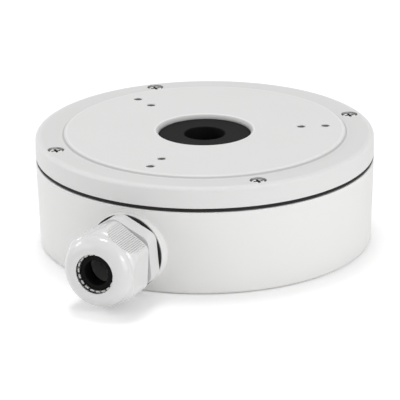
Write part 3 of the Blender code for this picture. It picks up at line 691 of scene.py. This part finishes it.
edge_inset, edge_drop = PLATFORM_EDGE
root_inset, root_rise = PLATFORM_ROOT
plate_profile = corner(OPENING, PLATFORM_TOP, OPENING_FILLET, 180, 90, 6)
plate_profile += [
    (PLATFORM_RADIUS - edge_inset, PLATFORM_TOP),
    (PLATFORM_RADIUS, PLATFORM_TOP - edge_drop),
    (PLATFORM_FOOT - root_inset, RIM_TOP + root_rise),
    (PLATFORM_FOOT, RIM_TOP),
]
plate_profile += corner(BODY_RADIUS, RIM_TOP, RIM_FILLET, 90, 0, 8)
plate_profile += corner(BODY_RADIUS, COVER_LOW, TOP_EDGE, 0, -90, 3)
plate_profile += [
    (BODY_RADIUS - WALL, COVER_LOW),
    (BODY_RADIUS - WALL - PLATE_DRAFT, PLATE_UNDER),
    (COLLAR, PLATE_UNDER),
    (COLLAR, COLLAR_LOW),
    (LEDGE, COLLAR_LOW),
    (LEDGE, LEDGE_TOP),
    (OPENING, LEDGE_TOP),
]
cover = turned("cover_plate_coated", [(0.0, 0.0, plate_profile, RING_STEPS)])
plate_middle = (PLATE_UNDER + RIM_TOP) / 2
screw_column = rod(COVER_COLUMN, COVER_LOW, plate_middle)
tap_column = rod(TAP + TAP_WALL, TAP_FLOOR - TAP_END, plate_middle)
columns = [(x, y, screw_column, ROD_STEPS) for x, y in SCREW_PLACES]
columns += [(x, y, tap_column, ROD_STEPS) for x, y in TAP_PLACES]
combine(cover, turned("cover_columns", columns), "UNION")
rib_low = PLATE_UNDER - RIB_FALL
rib_size = (RIB_LENGTH, RIB_THICK, plate_middle - rib_low)
for angle, (x, y) in zip(PAIR_ANGLES, around(RIB_CIRCLE, PAIR_ANGLES)):
    rib_place = (x, y, (rib_low + plate_middle) / 2)
    combine(cover, block("rib", rib_size, rib_place, angle), "UNION")
counterbore_profile = [
    (0.0, BORE_TOP),
    (COUNTERBORE, BORE_TOP),
    (COUNTERBORE, HEAD_UNDER - TOUCH_GAP),
    (SCREW_HOLE, HEAD_UNDER - TOUCH_GAP),
    (SCREW_HOLE, COVER_LOW + RETAINER_HEIGHT + 2 * TOUCH_GAP),
    (RETAINER_OUTER + TOUCH_GAP, COVER_LOW + RETAINER_HEIGHT + 2 * TOUCH_GAP),
    (RETAINER_OUTER + TOUCH_GAP, BORE_BOTTOM),
    (0.0, BORE_BOTTOM),
]
bored = [(x, y, counterbore_profile, COUNTERBORE_STEPS) for x, y in SCREW_PLACES]
tap_profile = [
    (0.0, BORE_TOP),
    (TAP + TAP_CHAMFER, BORE_TOP),
    (TAP + TAP_CHAMFER, PLATFORM_TOP),
    (TAP, PLATFORM_TOP - TAP_CHAMFER),
    (TAP, TAP_FLOOR),
    (0.0, TAP_FLOOR),
]
bored += [(x, y, tap_profile, ROD_STEPS) for x, y in TAP_PLACES]
combine(cover, turned("cover_holes", bored), "DIFFERENCE")
dress(cover, COVER_COAT)
# The tapped holes and the counterbore walls take the darker metal: bare metal where drilled, and
# painted shade.
cover.data.materials.append(BARE_METAL_AND_SHADE)
for face in cover.data.polygons:
    for places, radius, bottom, top in (
        (TAP_PLACES, TAP, TAP_FLOOR, PLATFORM_TOP - TAP_CHAMFER),
        (SCREW_PLACES, COUNTERBORE, HEAD_UNDER, RIM_TOP),
    ):
        offset = min(math.hypot(face.center.x - x, face.center.y - y) for x, y in places)
        if offset < radius + MARGIN and bottom - MARGIN < face.center.z < top - MARGIN:
            face.material_index = 1
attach(cover, "cover")
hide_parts("cover_plate")


# Cable grommet: a moulded rubber disc that seals the opening of the cover round the camera's
# lead. A groove in its side grips the ledge of the casting.
GROMMET_SUNK = 0.0019
GROMMET_FACE = PLATFORM_TOP - GROMMET_SUNK
GROMMET_BORE = 0.0095
GROMMET_BORE_ROUND = 0.0005
GROMMET_SIDE_ROUND = 0.0003
GROMMET_LIP = 0.002
GROMMET_LIP_TAPER = 0.001
GROMMET_LIP_THICK = 0.0017
GROMMET_STEPS = 160
GROMMET_RUBBER = rubber("grommet_rubber", (0.0025, 0.0022, 0.0022), 0.0005, 0.7, 0.095)

grommet_outer = OPENING - TOUCH_GAP
lip_under = LEDGE_TOP + TOUCH_GAP
lower_top = COLLAR_LOW - TOUCH_GAP
lower_end = lower_top - GROMMET_LIP_THICK
grommet_profile = corner(GROMMET_BORE, GROMMET_FACE, GROMMET_BORE_ROUND, 180, 90, 4)
grommet_profile += corner(grommet_outer, GROMMET_FACE, GROMMET_SIDE_ROUND, 90, 0, 3)
grommet_profile += [
    (grommet_outer, lip_under),
    (LEDGE - TOUCH_GAP, lip_under),
    (LEDGE - TOUCH_GAP, lower_top),
    (LEDGE + GROMMET_LIP, lower_top),
    (LEDGE + GROMMET_LIP_TAPER, lower_end),
    (GROMMET_BORE, lower_end),
]
grommet = turned("cable_grommet_moulded", [(0.0, 0.0, grommet_profile, GROMMET_STEPS)])
dress(grommet, GROMMET_RUBBER)
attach(grommet, "cover")
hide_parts("cable_grommet")


# Cover screws and their retainers: plated machine screws with a cross recess, sunk in the
# ring. A rubber ring on each shank, under the cover, keeps the screw from falling out.
COVER_SHANK_LENGTH = 0.018
RECESS_WING = (0.0044, 0.0012, 0.0032)
RECESS_REACH = 0.0025
RECESS_FLOOR = 0.0008
RECESS_MOUTH = HEAD_HEIGHT - 0.0002
RETAINER_EDGE = 0.0002
# Painted shade: a near-black metal inside the cross recess of each head.
RECESS_SHADE_METAL = bright_metal("recess_painted_shade", (0.16, 0.16, 0.155), 0.45)

for number, (angle, (x, y)) in enumerate(zip(SCREW_ANGLES, SCREW_PLACES), 1):
    screw = screw_shape(
        f"cover_screw_{number}_plated", HEAD_RADIUS, HEAD_HEIGHT, COVER_SHANK_LENGTH
    )
    for turn in (0, 90):
        wing = block("recess", RECESS_WING, (0.0, 0.0, HEAD_HEIGHT), turn)
        combine(screw, wing, "DIFFERENCE")
    screw.data.transform(Matrix.Rotation(math.radians(angle), 4, "Z"))
    screw.location = (x, y, HEAD_UNDER)
    dress(screw, PLATED_STEEL)
    # The walls and floor of the cross recess take the painted shade.
    screw.data.materials.append(RECESS_SHADE_METAL)
    for face in screw.data.polygons:
        reach = math.hypot(*face.center.xy)
        if RECESS_FLOOR < face.center.z < RECESS_MOUTH and reach < RECESS_REACH:
            face.material_index = 1
    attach(screw, "cover")
    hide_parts(f"cover_screw_{number}")

    retainer_low = COVER_LOW + TOUCH_GAP
    retainer_top = retainer_low + RETAINER_HEIGHT
    retainer_profile = [
        (SCREW_HOLE, retainer_top),
        (RETAINER_OUTER - RETAINER_EDGE, retainer_top),
        (RETAINER_OUTER, retainer_top - RETAINER_EDGE),
        (RETAINER_OUTER, retainer_low),
        (SCREW_HOLE, retainer_low),
    ]
    retainer = turned(
        f"screw_retainer_{number}_rubber", [(x, y, retainer_profile, PAD_STEPS)]
    )
    dress(retainer, SEAL_RUBBER)
    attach(retainer, "cover")
    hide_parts(f"screw_retainer_{number}")


# Gland body: injection moulded in white nylon. Its tail is screwed into the boss, its hexagon
# takes a spanner, and its front thread carries the dome nut.
GLAND_WASHER = 0.0011
FLANGE_THICK = 0.0082
FLANGE_BACK = GLAND_BOSS_REACH + GLAND_WASHER + 2 * TOUCH_GAP
FLANGE_FRONT = FLANGE_BACK + FLANGE_THICK
FLANGE_FLATS = 0.0334
FLANGE_TURN = 5.0
FLANGE_EDGE = 0.0006
CORNER_ROUND = 0.005
GLAND_BORE = 0.0095
TAIL_RADIUS = 0.0125
TAIL_LENGTH = 0.0105
TAIL_START = GLAND_BOSS_REACH - TAIL_LENGTH
FRONT_THREAD = 0.0125
FRONT_THREAD_LENGTH = 0.009
FRONT_THREAD_END = FLANGE_FRONT + FRONT_THREAD_LENGTH
GLAND_PITCH = 0.0015
GLAND_THREAD_DEPTH = 0.0008
GLAND_THREAD_STEPS = 8
GLAND_CORE_INSET = 0.0009
THREAD_LEAD = 0.0004
TAIL_RUNOUT = 0.0012
FRONT_RUNOUT = 0.0008
GLAND_STEPS = 180
WARM_SHARE = 0.965
NYLON_PATCHES = (-0.04, 0.06)
NYLON_SHINE = 0.5
FLOW_HEIGHT = 0.00002
FLOW_STRENGTH = 0.4


def nylon(name, colour, roughness):
    """Moulded white nylon: glossy, with faint flow marks and a slightly uneven shine."""
    material, tree, shader = new_finish(name)
    grain = place_group(tree, COAT_GRAIN, Peel_Size=0.0016, Mottle_Size=0.014, Detail=2.0)
    warm = tuple(WARM_SHARE * shade for shade in colour)
    smooth, rough = (roughness + patch for patch in NYLON_PATCHES)
    tree.links.new(
        mix_colours(tree, grain.outputs["Mottle"], colour, warm), shader.inputs["Base Color"]
    )
    tree.links.new(
        spread(tree, grain.outputs["Mottle"], smooth, rough), shader.inputs["Roughness"]
    )
    shader.inputs["Specular IOR Level"].default_value = NYLON_SHINE
    add_bump(tree, shader, grain.outputs["Height"], FLOW_HEIGHT, FLOW_STRENGTH)
    return material


GLAND_NYLON = nylon("gland_nylon", (0.68, 0.674, 0.676), 0.24)


def hexagon_radius(angle, across_flats, corner_round, turn):
    """Distance from the centre to a hexagon with rounded corners, at an angle in degrees."""
    sector = (angle - turn + 30.0) % 60.0 - 30.0
    half = across_flats / 2
    across = half * math.tan(math.radians(abs(sector)))
    if across <= (half - corner_round) * math.tan(math.radians(30)):
        return half / math.cos(math.radians(sector))
    centre = (half - corner_round) / math.cos(math.radians(30))
    off = math.radians(30.0 - abs(sector))
    return centre * math.cos(off) + math.sqrt(corner_round ** 2 - (centre * math.sin(off)) ** 2)


def skin(name, rings, facets):
    """A closed loop of rings, each a function of the angle in degrees giving (radius, height)."""
    shape = bmesh.new()
    rows = []
    for ring in rings:
        row = []
        for j in range(facets):
            angle = 360.0 * j / facets
            radius, height = ring(angle)
            turn = math.radians(angle)
            row.append(shape.verts.new((radius * math.cos(turn), radius * math.sin(turn), height)))
        rows.append(row)
    for first, second in zip(rows, rows[1:] + rows[:1]):
        for j in range(facets):
            k = (j + 1) % facets
            shape.faces.new((first[j], second[j], second[k], first[k]))
    bmesh.ops.recalc_face_normals(shape, faces=shape.faces)
    return placed(name, shape)


def round_ring(radius, height):
    """A plain round ring."""
    return lambda angle: (radius, height)


def thread_ring(radius, depth, height):
    """A ring of an outside thread, whose groove depends on the angle and the height."""
    def at(angle):
        phase = (height / GLAND_PITCH - angle / 360.0) % 1.0
        return radius - depth * (1.0 - abs(2.0 * phase - 1.0)), height
    return at


def flange_ring(inset, height):
    """A ring of the hexagon flange, pulled in by an inset for its rounded edges."""
    def at(angle):
        return hexagon_radius(angle, FLANGE_FLATS, CORNER_ROUND, FLANGE_TURN) - inset, height
    return at


def thread_rings(radius, start, end):
    """The rings of a whole thread between two heights."""
    count = int(abs(end - start) / (GLAND_PITCH / GLAND_THREAD_STEPS))
    heights = [start + (end - start) * i / count for i in range(count + 1)]
    return [thread_ring(radius, GLAND_THREAD_DEPTH, height) for height in heights]


tail_core = TAIL_RADIUS - GLAND_CORE_INSET
front_core = FRONT_THREAD - GLAND_CORE_INSET
body_rings = [round_ring(GLAND_BORE, TAIL_START), round_ring(tail_core, TAIL_START)]
body_rings += thread_rings(TAIL_RADIUS, TAIL_START + THREAD_LEAD, FLANGE_BACK - TAIL_RUNOUT)
body_rings += [
    round_ring(tail_core, FLANGE_BACK),
    flange_ring(FLANGE_EDGE, FLANGE_BACK),
    flange_ring(FLANGE_EDGE / 4, FLANGE_BACK + FLANGE_EDGE / 4),
    flange_ring(0.0, FLANGE_BACK + FLANGE_EDGE),
    flange_ring(0.0, FLANGE_FRONT - FLANGE_EDGE),
    flange_ring(FLANGE_EDGE / 4, FLANGE_FRONT - FLANGE_EDGE / 4),
    flange_ring(FLANGE_EDGE, FLANGE_FRONT),
    round_ring(front_core, FLANGE_FRONT),
]
body_rings += thread_rings(
    FRONT_THREAD, FLANGE_FRONT + FRONT_RUNOUT, FRONT_THREAD_END - THREAD_LEAD
)
body_rings += [round_ring(front_core, FRONT_THREAD_END), round_ring(GLAND_BORE, FRONT_THREAD_END)]
gland_body = along_gland(skin("gland_body_moulded", body_rings, GLAND_STEPS))
dress(gland_body, GLAND_NYLON)
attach(gland_body, "base")
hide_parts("gland_body")


# Gland washer: a flat ring stamped from black rubber. It is pinched between the hexagon and
# the boss, and seals the tail's thread against rain.
GLAND_WASHER_INSET = 0.0003
GLAND_WASHER_ROUND = 0.0003

washer_low = GLAND_BOSS_REACH + TOUCH_GAP
washer_high = washer_low + GLAND_WASHER
washer_inner = TAIL_RADIUS + TOUCH_GAP
washer_outer = GLAND_BOSS - GLAND_WASHER_INSET
pinched_profile = [(washer_inner, washer_high)]
pinched_profile += corner(washer_outer, washer_high, GLAND_WASHER_ROUND, 90, 0, 3)
pinched_profile += corner(washer_outer, washer_low, GLAND_WASHER_ROUND, 0, -90, 3)
pinched_profile += [(washer_inner, washer_low)]
pinched_rows = [(0.0, 0.0, pinched_profile, BOSS_STEPS)]
gland_washer = along_gland(turned("gland_washer_rubber", pinched_rows))
dress(gland_washer, SEAL_RUBBER)
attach(gland_washer, "base")
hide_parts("gland_washer")


# Gland claw: a nylon ring of fingers. The cone inside the dome nut presses the fingers
# inwards, and they close the seal on the cable.
NUT_LENGTH = 0.0218
NUT_FRONT = FLANGE_FRONT + TOUCH_GAP + NUT_LENGTH
MOUTH = 0.0091
FINGERS = 19
FINGER_GAP = 0.0011
FINGER_GAP_REACH = 0.0132
CLAW_BACK = FRONT_THREAD_END + TOUCH_GAP
CLAW_OUTER = FRONT_THREAD - TOUCH_GAP
CLAW_SUNK = 0.0019
CLAW_TIP = NUT_FRONT - CLAW_SUNK
CLAW_FLARE = 0.0001
CLAW_TIP_RADIUS = MOUTH + CLAW_FLARE
CLAW_TIP_EDGE = 0.0003
CLAW_WALL = 0.0009
CLAW_RING = 0.0025
CLAW_SHOULDER = CLAW_BACK + 2 * CLAW_RING
CLAW_STEPS = 144
CLAW_NYLON = nylon("claw_nylon", (0.76, 0.76, 0.75), 0.4)

claw_profile = [
    (CLAW_TIP_RADIUS - CLAW_WALL, CLAW_TIP),
    (CLAW_TIP_RADIUS - CLAW_TIP_EDGE, CLAW_TIP),
    (CLAW_TIP_RADIUS, CLAW_TIP - CLAW_TIP_EDGE),
    (CLAW_OUTER, CLAW_SHOULDER),
    (CLAW_OUTER, CLAW_BACK),
    (GLAND_BORE, CLAW_BACK),
    (GLAND_BORE, CLAW_SHOULDER),
]
claw = turned("gland_claw_moulded", [(0.0, 0.0, claw_profile, CLAW_STEPS)])
gap_low = CLAW_BACK + CLAW_RING
gap_height = NUT_FRONT - gap_low
gap_size = (FINGER_GAP_REACH, FINGER_GAP, gap_height)
gap_angles = [360.0 * i / FINGERS for i in range(FINGERS)]
for angle, (x, y) in zip(gap_angles, around(CLAW_OUTER, gap_angles)):
    gap = block("finger_gap", gap_size, (x, y, gap_low + gap_height / 2), angle)
    combine(claw, gap, "DIFFERENCE")
along_gland(claw)
dress(claw, CLAW_NYLON)
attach(claw, "gland_clamp")
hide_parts("gland_claw")


# Gland seal: a rubber sleeve inside the fingers, which closes on the cable. With no cable in
# the gland its bore is open.
SEAL_BORE = 0.0058
SEAL_FRONT = CLAW_TIP - TOUCH_GAP
SEAL_LIP = 0.0058
SEAL_WALL = 0.0012
SEAL_BORE_ROUND = 0.0004
SEAL_TIP_ROUND = 0.0002

seal_tip = CLAW_TIP_RADIUS - CLAW_WALL - TOUCH_GAP
seal_root = GLAND_BORE - TOUCH_GAP
seal_profile = corner(SEAL_BORE, SEAL_FRONT, SEAL_BORE_ROUND, 180, 90, 4)
seal_profile += corner(seal_tip, SEAL_FRONT, SEAL_TIP_ROUND, 90, 0, 2)
seal_profile += [
    (seal_root, CLAW_SHOULDER),
    (seal_root, CLAW_BACK),
    (seal_root - SEAL_WALL, CLAW_BACK),
    (seal_root - SEAL_WALL, CLAW_SHOULDER),
    (SEAL_BORE, SEAL_FRONT - SEAL_LIP),
]
seal = along_gland(turned("gland_seal_rubber", [(0.0, 0.0, seal_profile, BOSS_STEPS)]))
dress(seal, GROMMET_RUBBER)
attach(seal, "gland_clamp")
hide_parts("gland_seal")


# Dome nut: glossy moulded nylon. The back is a hexagon, ribbed for the fingers on every other
# flat, and the front is a dome with a round mouth for the cable.
NUT_GAP = 0.0017
NUT_BACK = FLANGE_FRONT + NUT_GAP
NUT_FLATS = 0.0334
NUT_TURN = -3.3
NUT_CORNER = 0.0185
NUT_EDGE = 0.0005
NUT_BORE = FRONT_THREAD + TOUCH_GAP
MOUTH_LAND = 0.0005
BEVEL_LENGTH = 0.0105
BEVEL_START = NUT_FRONT - BEVEL_LENGTH
BEVEL_POWER = 2.2
BEVEL_END = 0.0166
BEVEL_STEPS = 19
DOME_LENGTH = 0.0051
DOME_START = NUT_FRONT - DOME_LENGTH
DOME_RADIUS = 0.0165
DOME_POWER = 1.9
DOME_STEPS = 30
FACE_WIDTH = 0.0018
FACE_RADIUS = MOUTH + FACE_WIDTH
FACE_ROUND = 0.0006
NUT_STEPS = 1080
NUT_SHARP = 28
RIB_PITCH = 0.001
RIB_DEPTH = 0.0006
RIB_BAND_BACK = 0.0094
RIB_BAND_FRONT = 0.0076
NUT_NYLON = nylon("nut_nylon", (0.69, 0.686, 0.686), 0.13)


def dome_envelope(height):
    """Radius of the turned outline: a bevel across the hexagon's corners, then the dome."""
    if height < BEVEL_START:
        return 2 * NUT_CORNER
    if height < DOME_START:
        share = (height - BEVEL_START) / (DOME_START - BEVEL_START)
        return NUT_CORNER + (BEVEL_END - NUT_CORNER) * share ** BEVEL_POWER
    share = (height - DOME_START) / (NUT_FRONT - DOME_START)
    rise = max(0.0, 1.0 - share ** DOME_POWER)
    return FACE_RADIUS + (DOME_RADIUS - FACE_RADIUS) * math.sqrt(rise)


def rib_cut(across, height):
    """Depth of the grooves between the ribs of a flat, whose band narrows to the front."""
    share = (height - NUT_BACK) / (NUT_FRONT - NUT_BACK)
    half_band = RIB_BAND_BACK + (RIB_BAND_FRONT - RIB_BAND_BACK) * share
    if abs(across) > half_band:
        return 0.0
    wave = (0.5 + 0.5 * math.cos(2 * math.pi * across / RIB_PITCH)) ** 2
    return RIB_DEPTH * wave * min(1.0, (half_band - abs(across)) / RIB_PITCH)


def nut_ring(height, ribbed, inset=0.0):
    """A ring of the outside: rounded hexagon, ribs on alternate flats, trimmed by the dome."""
    def at(angle):
        radius = hexagon_radius(angle, NUT_FLATS, CORNER_ROUND, NUT_TURN)
        sector = (angle - NUT_TURN + 30.0) % 60.0 - 30.0
        flat = int(((angle - NUT_TURN) % 360.0 + 30.0) // 60.0) % 6
        if ribbed and flat % 2 == 1:
            radius -= rib_cut(NUT_FLATS / 2 * math.tan(math.radians(sector)), height)
        return min(radius - inset, dome_envelope(height)), height
    return at


nut_rings = [round_ring(NUT_BORE, NUT_BACK), nut_ring(NUT_BACK, False, NUT_EDGE)]
nut_rings += [nut_ring(NUT_BACK + NUT_EDGE / 3, False, NUT_EDGE / 3)]
nut_rings += [nut_ring(NUT_BACK + NUT_EDGE, True)]
for i in range(BEVEL_STEPS):
    nut_rings.append(nut_ring(BEVEL_START + (DOME_START - BEVEL_START) * i / BEVEL_STEPS, True))
for i in range(DOME_STEPS + 1):
    share = math.sin(math.radians(90 * i / DOME_STEPS))
    nut_rings.append(nut_ring(DOME_START + (NUT_FRONT - DOME_START) * share, False))
for radius, height in corner(MOUTH, NUT_FRONT, FACE_ROUND, 90, 180, 5):
    nut_rings.append(round_ring(radius, height))
nut_rings += [round_ring(MOUTH, NUT_FRONT - MOUTH_LAND), round_ring(NUT_BORE, CLAW_SHOULDER)]
nut = along_gland(skin("gland_nut_moulded", nut_rings, NUT_STEPS))
dress(nut, NUT_NYLON, NUT_SHARP)
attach(nut, "gland_nut")
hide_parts("gland_nut")


# Studio: a matt white floor in a white surround. Two softboxes stand at the sides in front,
# one hangs above, and two smaller lamps give the highlights on the dome nut.
FLOOR_SIZE = 6.0
FLOOR_DROP = 0.0004
AMBIENT_LIGHT = 0.5
OBJECT_MIDDLE = (0.0, 0.0, 0.025)


def seen_share(tree):
    """A share of 1 where a surface is seen or mirrored, and 0 where it only lights others."""
    path = tree.nodes.new("ShaderNodeLightPath")
    seen = path.outputs["Is Camera Ray"]
    for other in ("Is Glossy Ray", "Is Transmission Ray"):
        total = tree.nodes.new("ShaderNodeMath")
        total.operation = "ADD"
        total.use_clamp = True
        tree.links.new(seen, total.inputs[0])
        tree.links.new(path.outputs[other], total.inputs[1])
        seen = total.outputs[0]
    return seen


def backdrop_white(name, colour, lift):
    """A matt white, with a lift that only the camera and reflections see."""
    material, tree, shader = new_finish(name)
    shader.inputs["Base Color"].default_value = (*colour, 1.0)
    shader.inputs["Roughness"].default_value = 1.0
    shader.inputs["Specular IOR Level"].default_value = 0.0
    glow = mix_colours(tree, seen_share(tree), (0.0, 0.0, 0.0), (lift, lift, lift))
    tree.links.new(glow, shader.inputs["Emission Color"])
    shader.inputs["Emission Strength"].default_value = 1.0
    return material


bpy.ops.mesh.primitive_plane_add(size=FLOOR_SIZE, location=(0.0, 0.0, -FLOOR_DROP))
studio_floor = bpy.context.object
studio_floor.name = "studio_floor"
studio_floor.data.materials.append(backdrop_white("floor_white", (0.94, 0.94, 0.94), 0.15))

world = bpy.data.worlds.new("studio")
bpy.context.scene.world = world
world.use_nodes = True
surround = world.node_tree
sky = surround.nodes["Background"]
sky.inputs["Color"].default_value = (1.0, 1.0, 1.0, 1.0)
sky.inputs["Strength"].default_value = AMBIENT_LIGHT
white = surround.nodes.new("ShaderNodeBackground")
white.inputs["Color"].default_value = (1.0, 1.0, 1.0, 1.0)
white.inputs["Strength"].default_value = 1.0
choice = surround.nodes.new("ShaderNodeMixShader")
surround.links.new(seen_share(surround), choice.inputs[0])
surround.links.new(sky.outputs[0], choice.inputs[1])
surround.links.new(white.outputs[0], choice.inputs[2])
surround.links.new(choice.outputs[0], surround.nodes["World Output"].inputs["Surface"])


def soft_lamp(name, place, aim, size, power):
    """A square area lamp aimed at a point."""
    data = bpy.data.lights.new(name, "AREA")
    data.shape = "SQUARE"
    data.size = size
    data.energy = power
    lamp = bpy.data.objects.new(name, data)
    lamp.location = place
    lamp.rotation_euler = (Vector(aim) - Vector(place)).to_track_quat("-Z", "Y").to_euler()
    bpy.context.scene.collection.objects.link(lamp)


soft_lamp("left_lamp", (-1.1, -0.16, 0.48), OBJECT_MIDDLE, 0.33, 2.2)
soft_lamp("right_lamp", (0.98, -0.36, 0.62), OBJECT_MIDDLE, 0.33, 2.2)
soft_lamp("left_softbox", (-1.035, -1.035, 0.34), OBJECT_MIDDLE, 1.0, 4.4)
soft_lamp("right_softbox", (1.358, -0.549, 0.34), OBJECT_MIDDLE, 1.0, 6.8)
soft_lamp("top_softbox", (-0.3, 0.36, 2.3), OBJECT_MIDDLE, 0.75, 17.0)


# Camera: a long lens at the photograph's height and distance, which looks down on the box a
# little and has the gland turned towards it.
CAMERA_AZIMUTH = 26.0
CAMERA_ELEVATION = 19.79
CAMERA_ROLL = -0.654
CAMERA_DISTANCE = 1.5944
CAMERA_SIDE = -0.00244
CAMERA_RISE = -0.00741
FRAME_PIXELS = 400
FOCAL_PIXELS = 3417.7
SENSOR_WIDTH = 36.0
NEAR_LIMIT = 0.05
FAR_LIMIT = 20.0

azimuth = math.radians(CAMERA_AZIMUTH)
elevation = math.radians(CAMERA_ELEVATION)
roll = math.radians(CAMERA_ROLL)
back = Vector(
    (
        math.sin(azimuth) * math.cos(elevation),
        -math.cos(azimuth) * math.cos(elevation),
        math.sin(elevation),
    )
)
level = Vector((math.cos(azimuth), math.sin(azimuth), 0.0))
upright = back.cross(level)
right = math.cos(roll) * level + math.sin(roll) * upright
up = -math.sin(roll) * level + math.cos(roll) * upright
view = bpy.data.cameras.new("photo_camera")
view.sensor_width = SENSOR_WIDTH
view.lens = FOCAL_PIXELS * SENSOR_WIDTH / FRAME_PIXELS
view.clip_start = NEAR_LIMIT
view.clip_end = FAR_LIMIT
camera = bpy.data.objects.new("photo_camera", view)
bpy.context.scene.collection.objects.link(camera)
place = Vector(OBJECT_MIDDLE) + back * CAMERA_DISTANCE + right * CAMERA_SIDE + up * CAMERA_RISE
camera.matrix_world = Matrix.Translation(place) @ Matrix((right, up, back)).transposed().to_4x4()
bpy.context.scene.camera = camera
bpy.context.scene.view_settings.view_transform = "Standard"
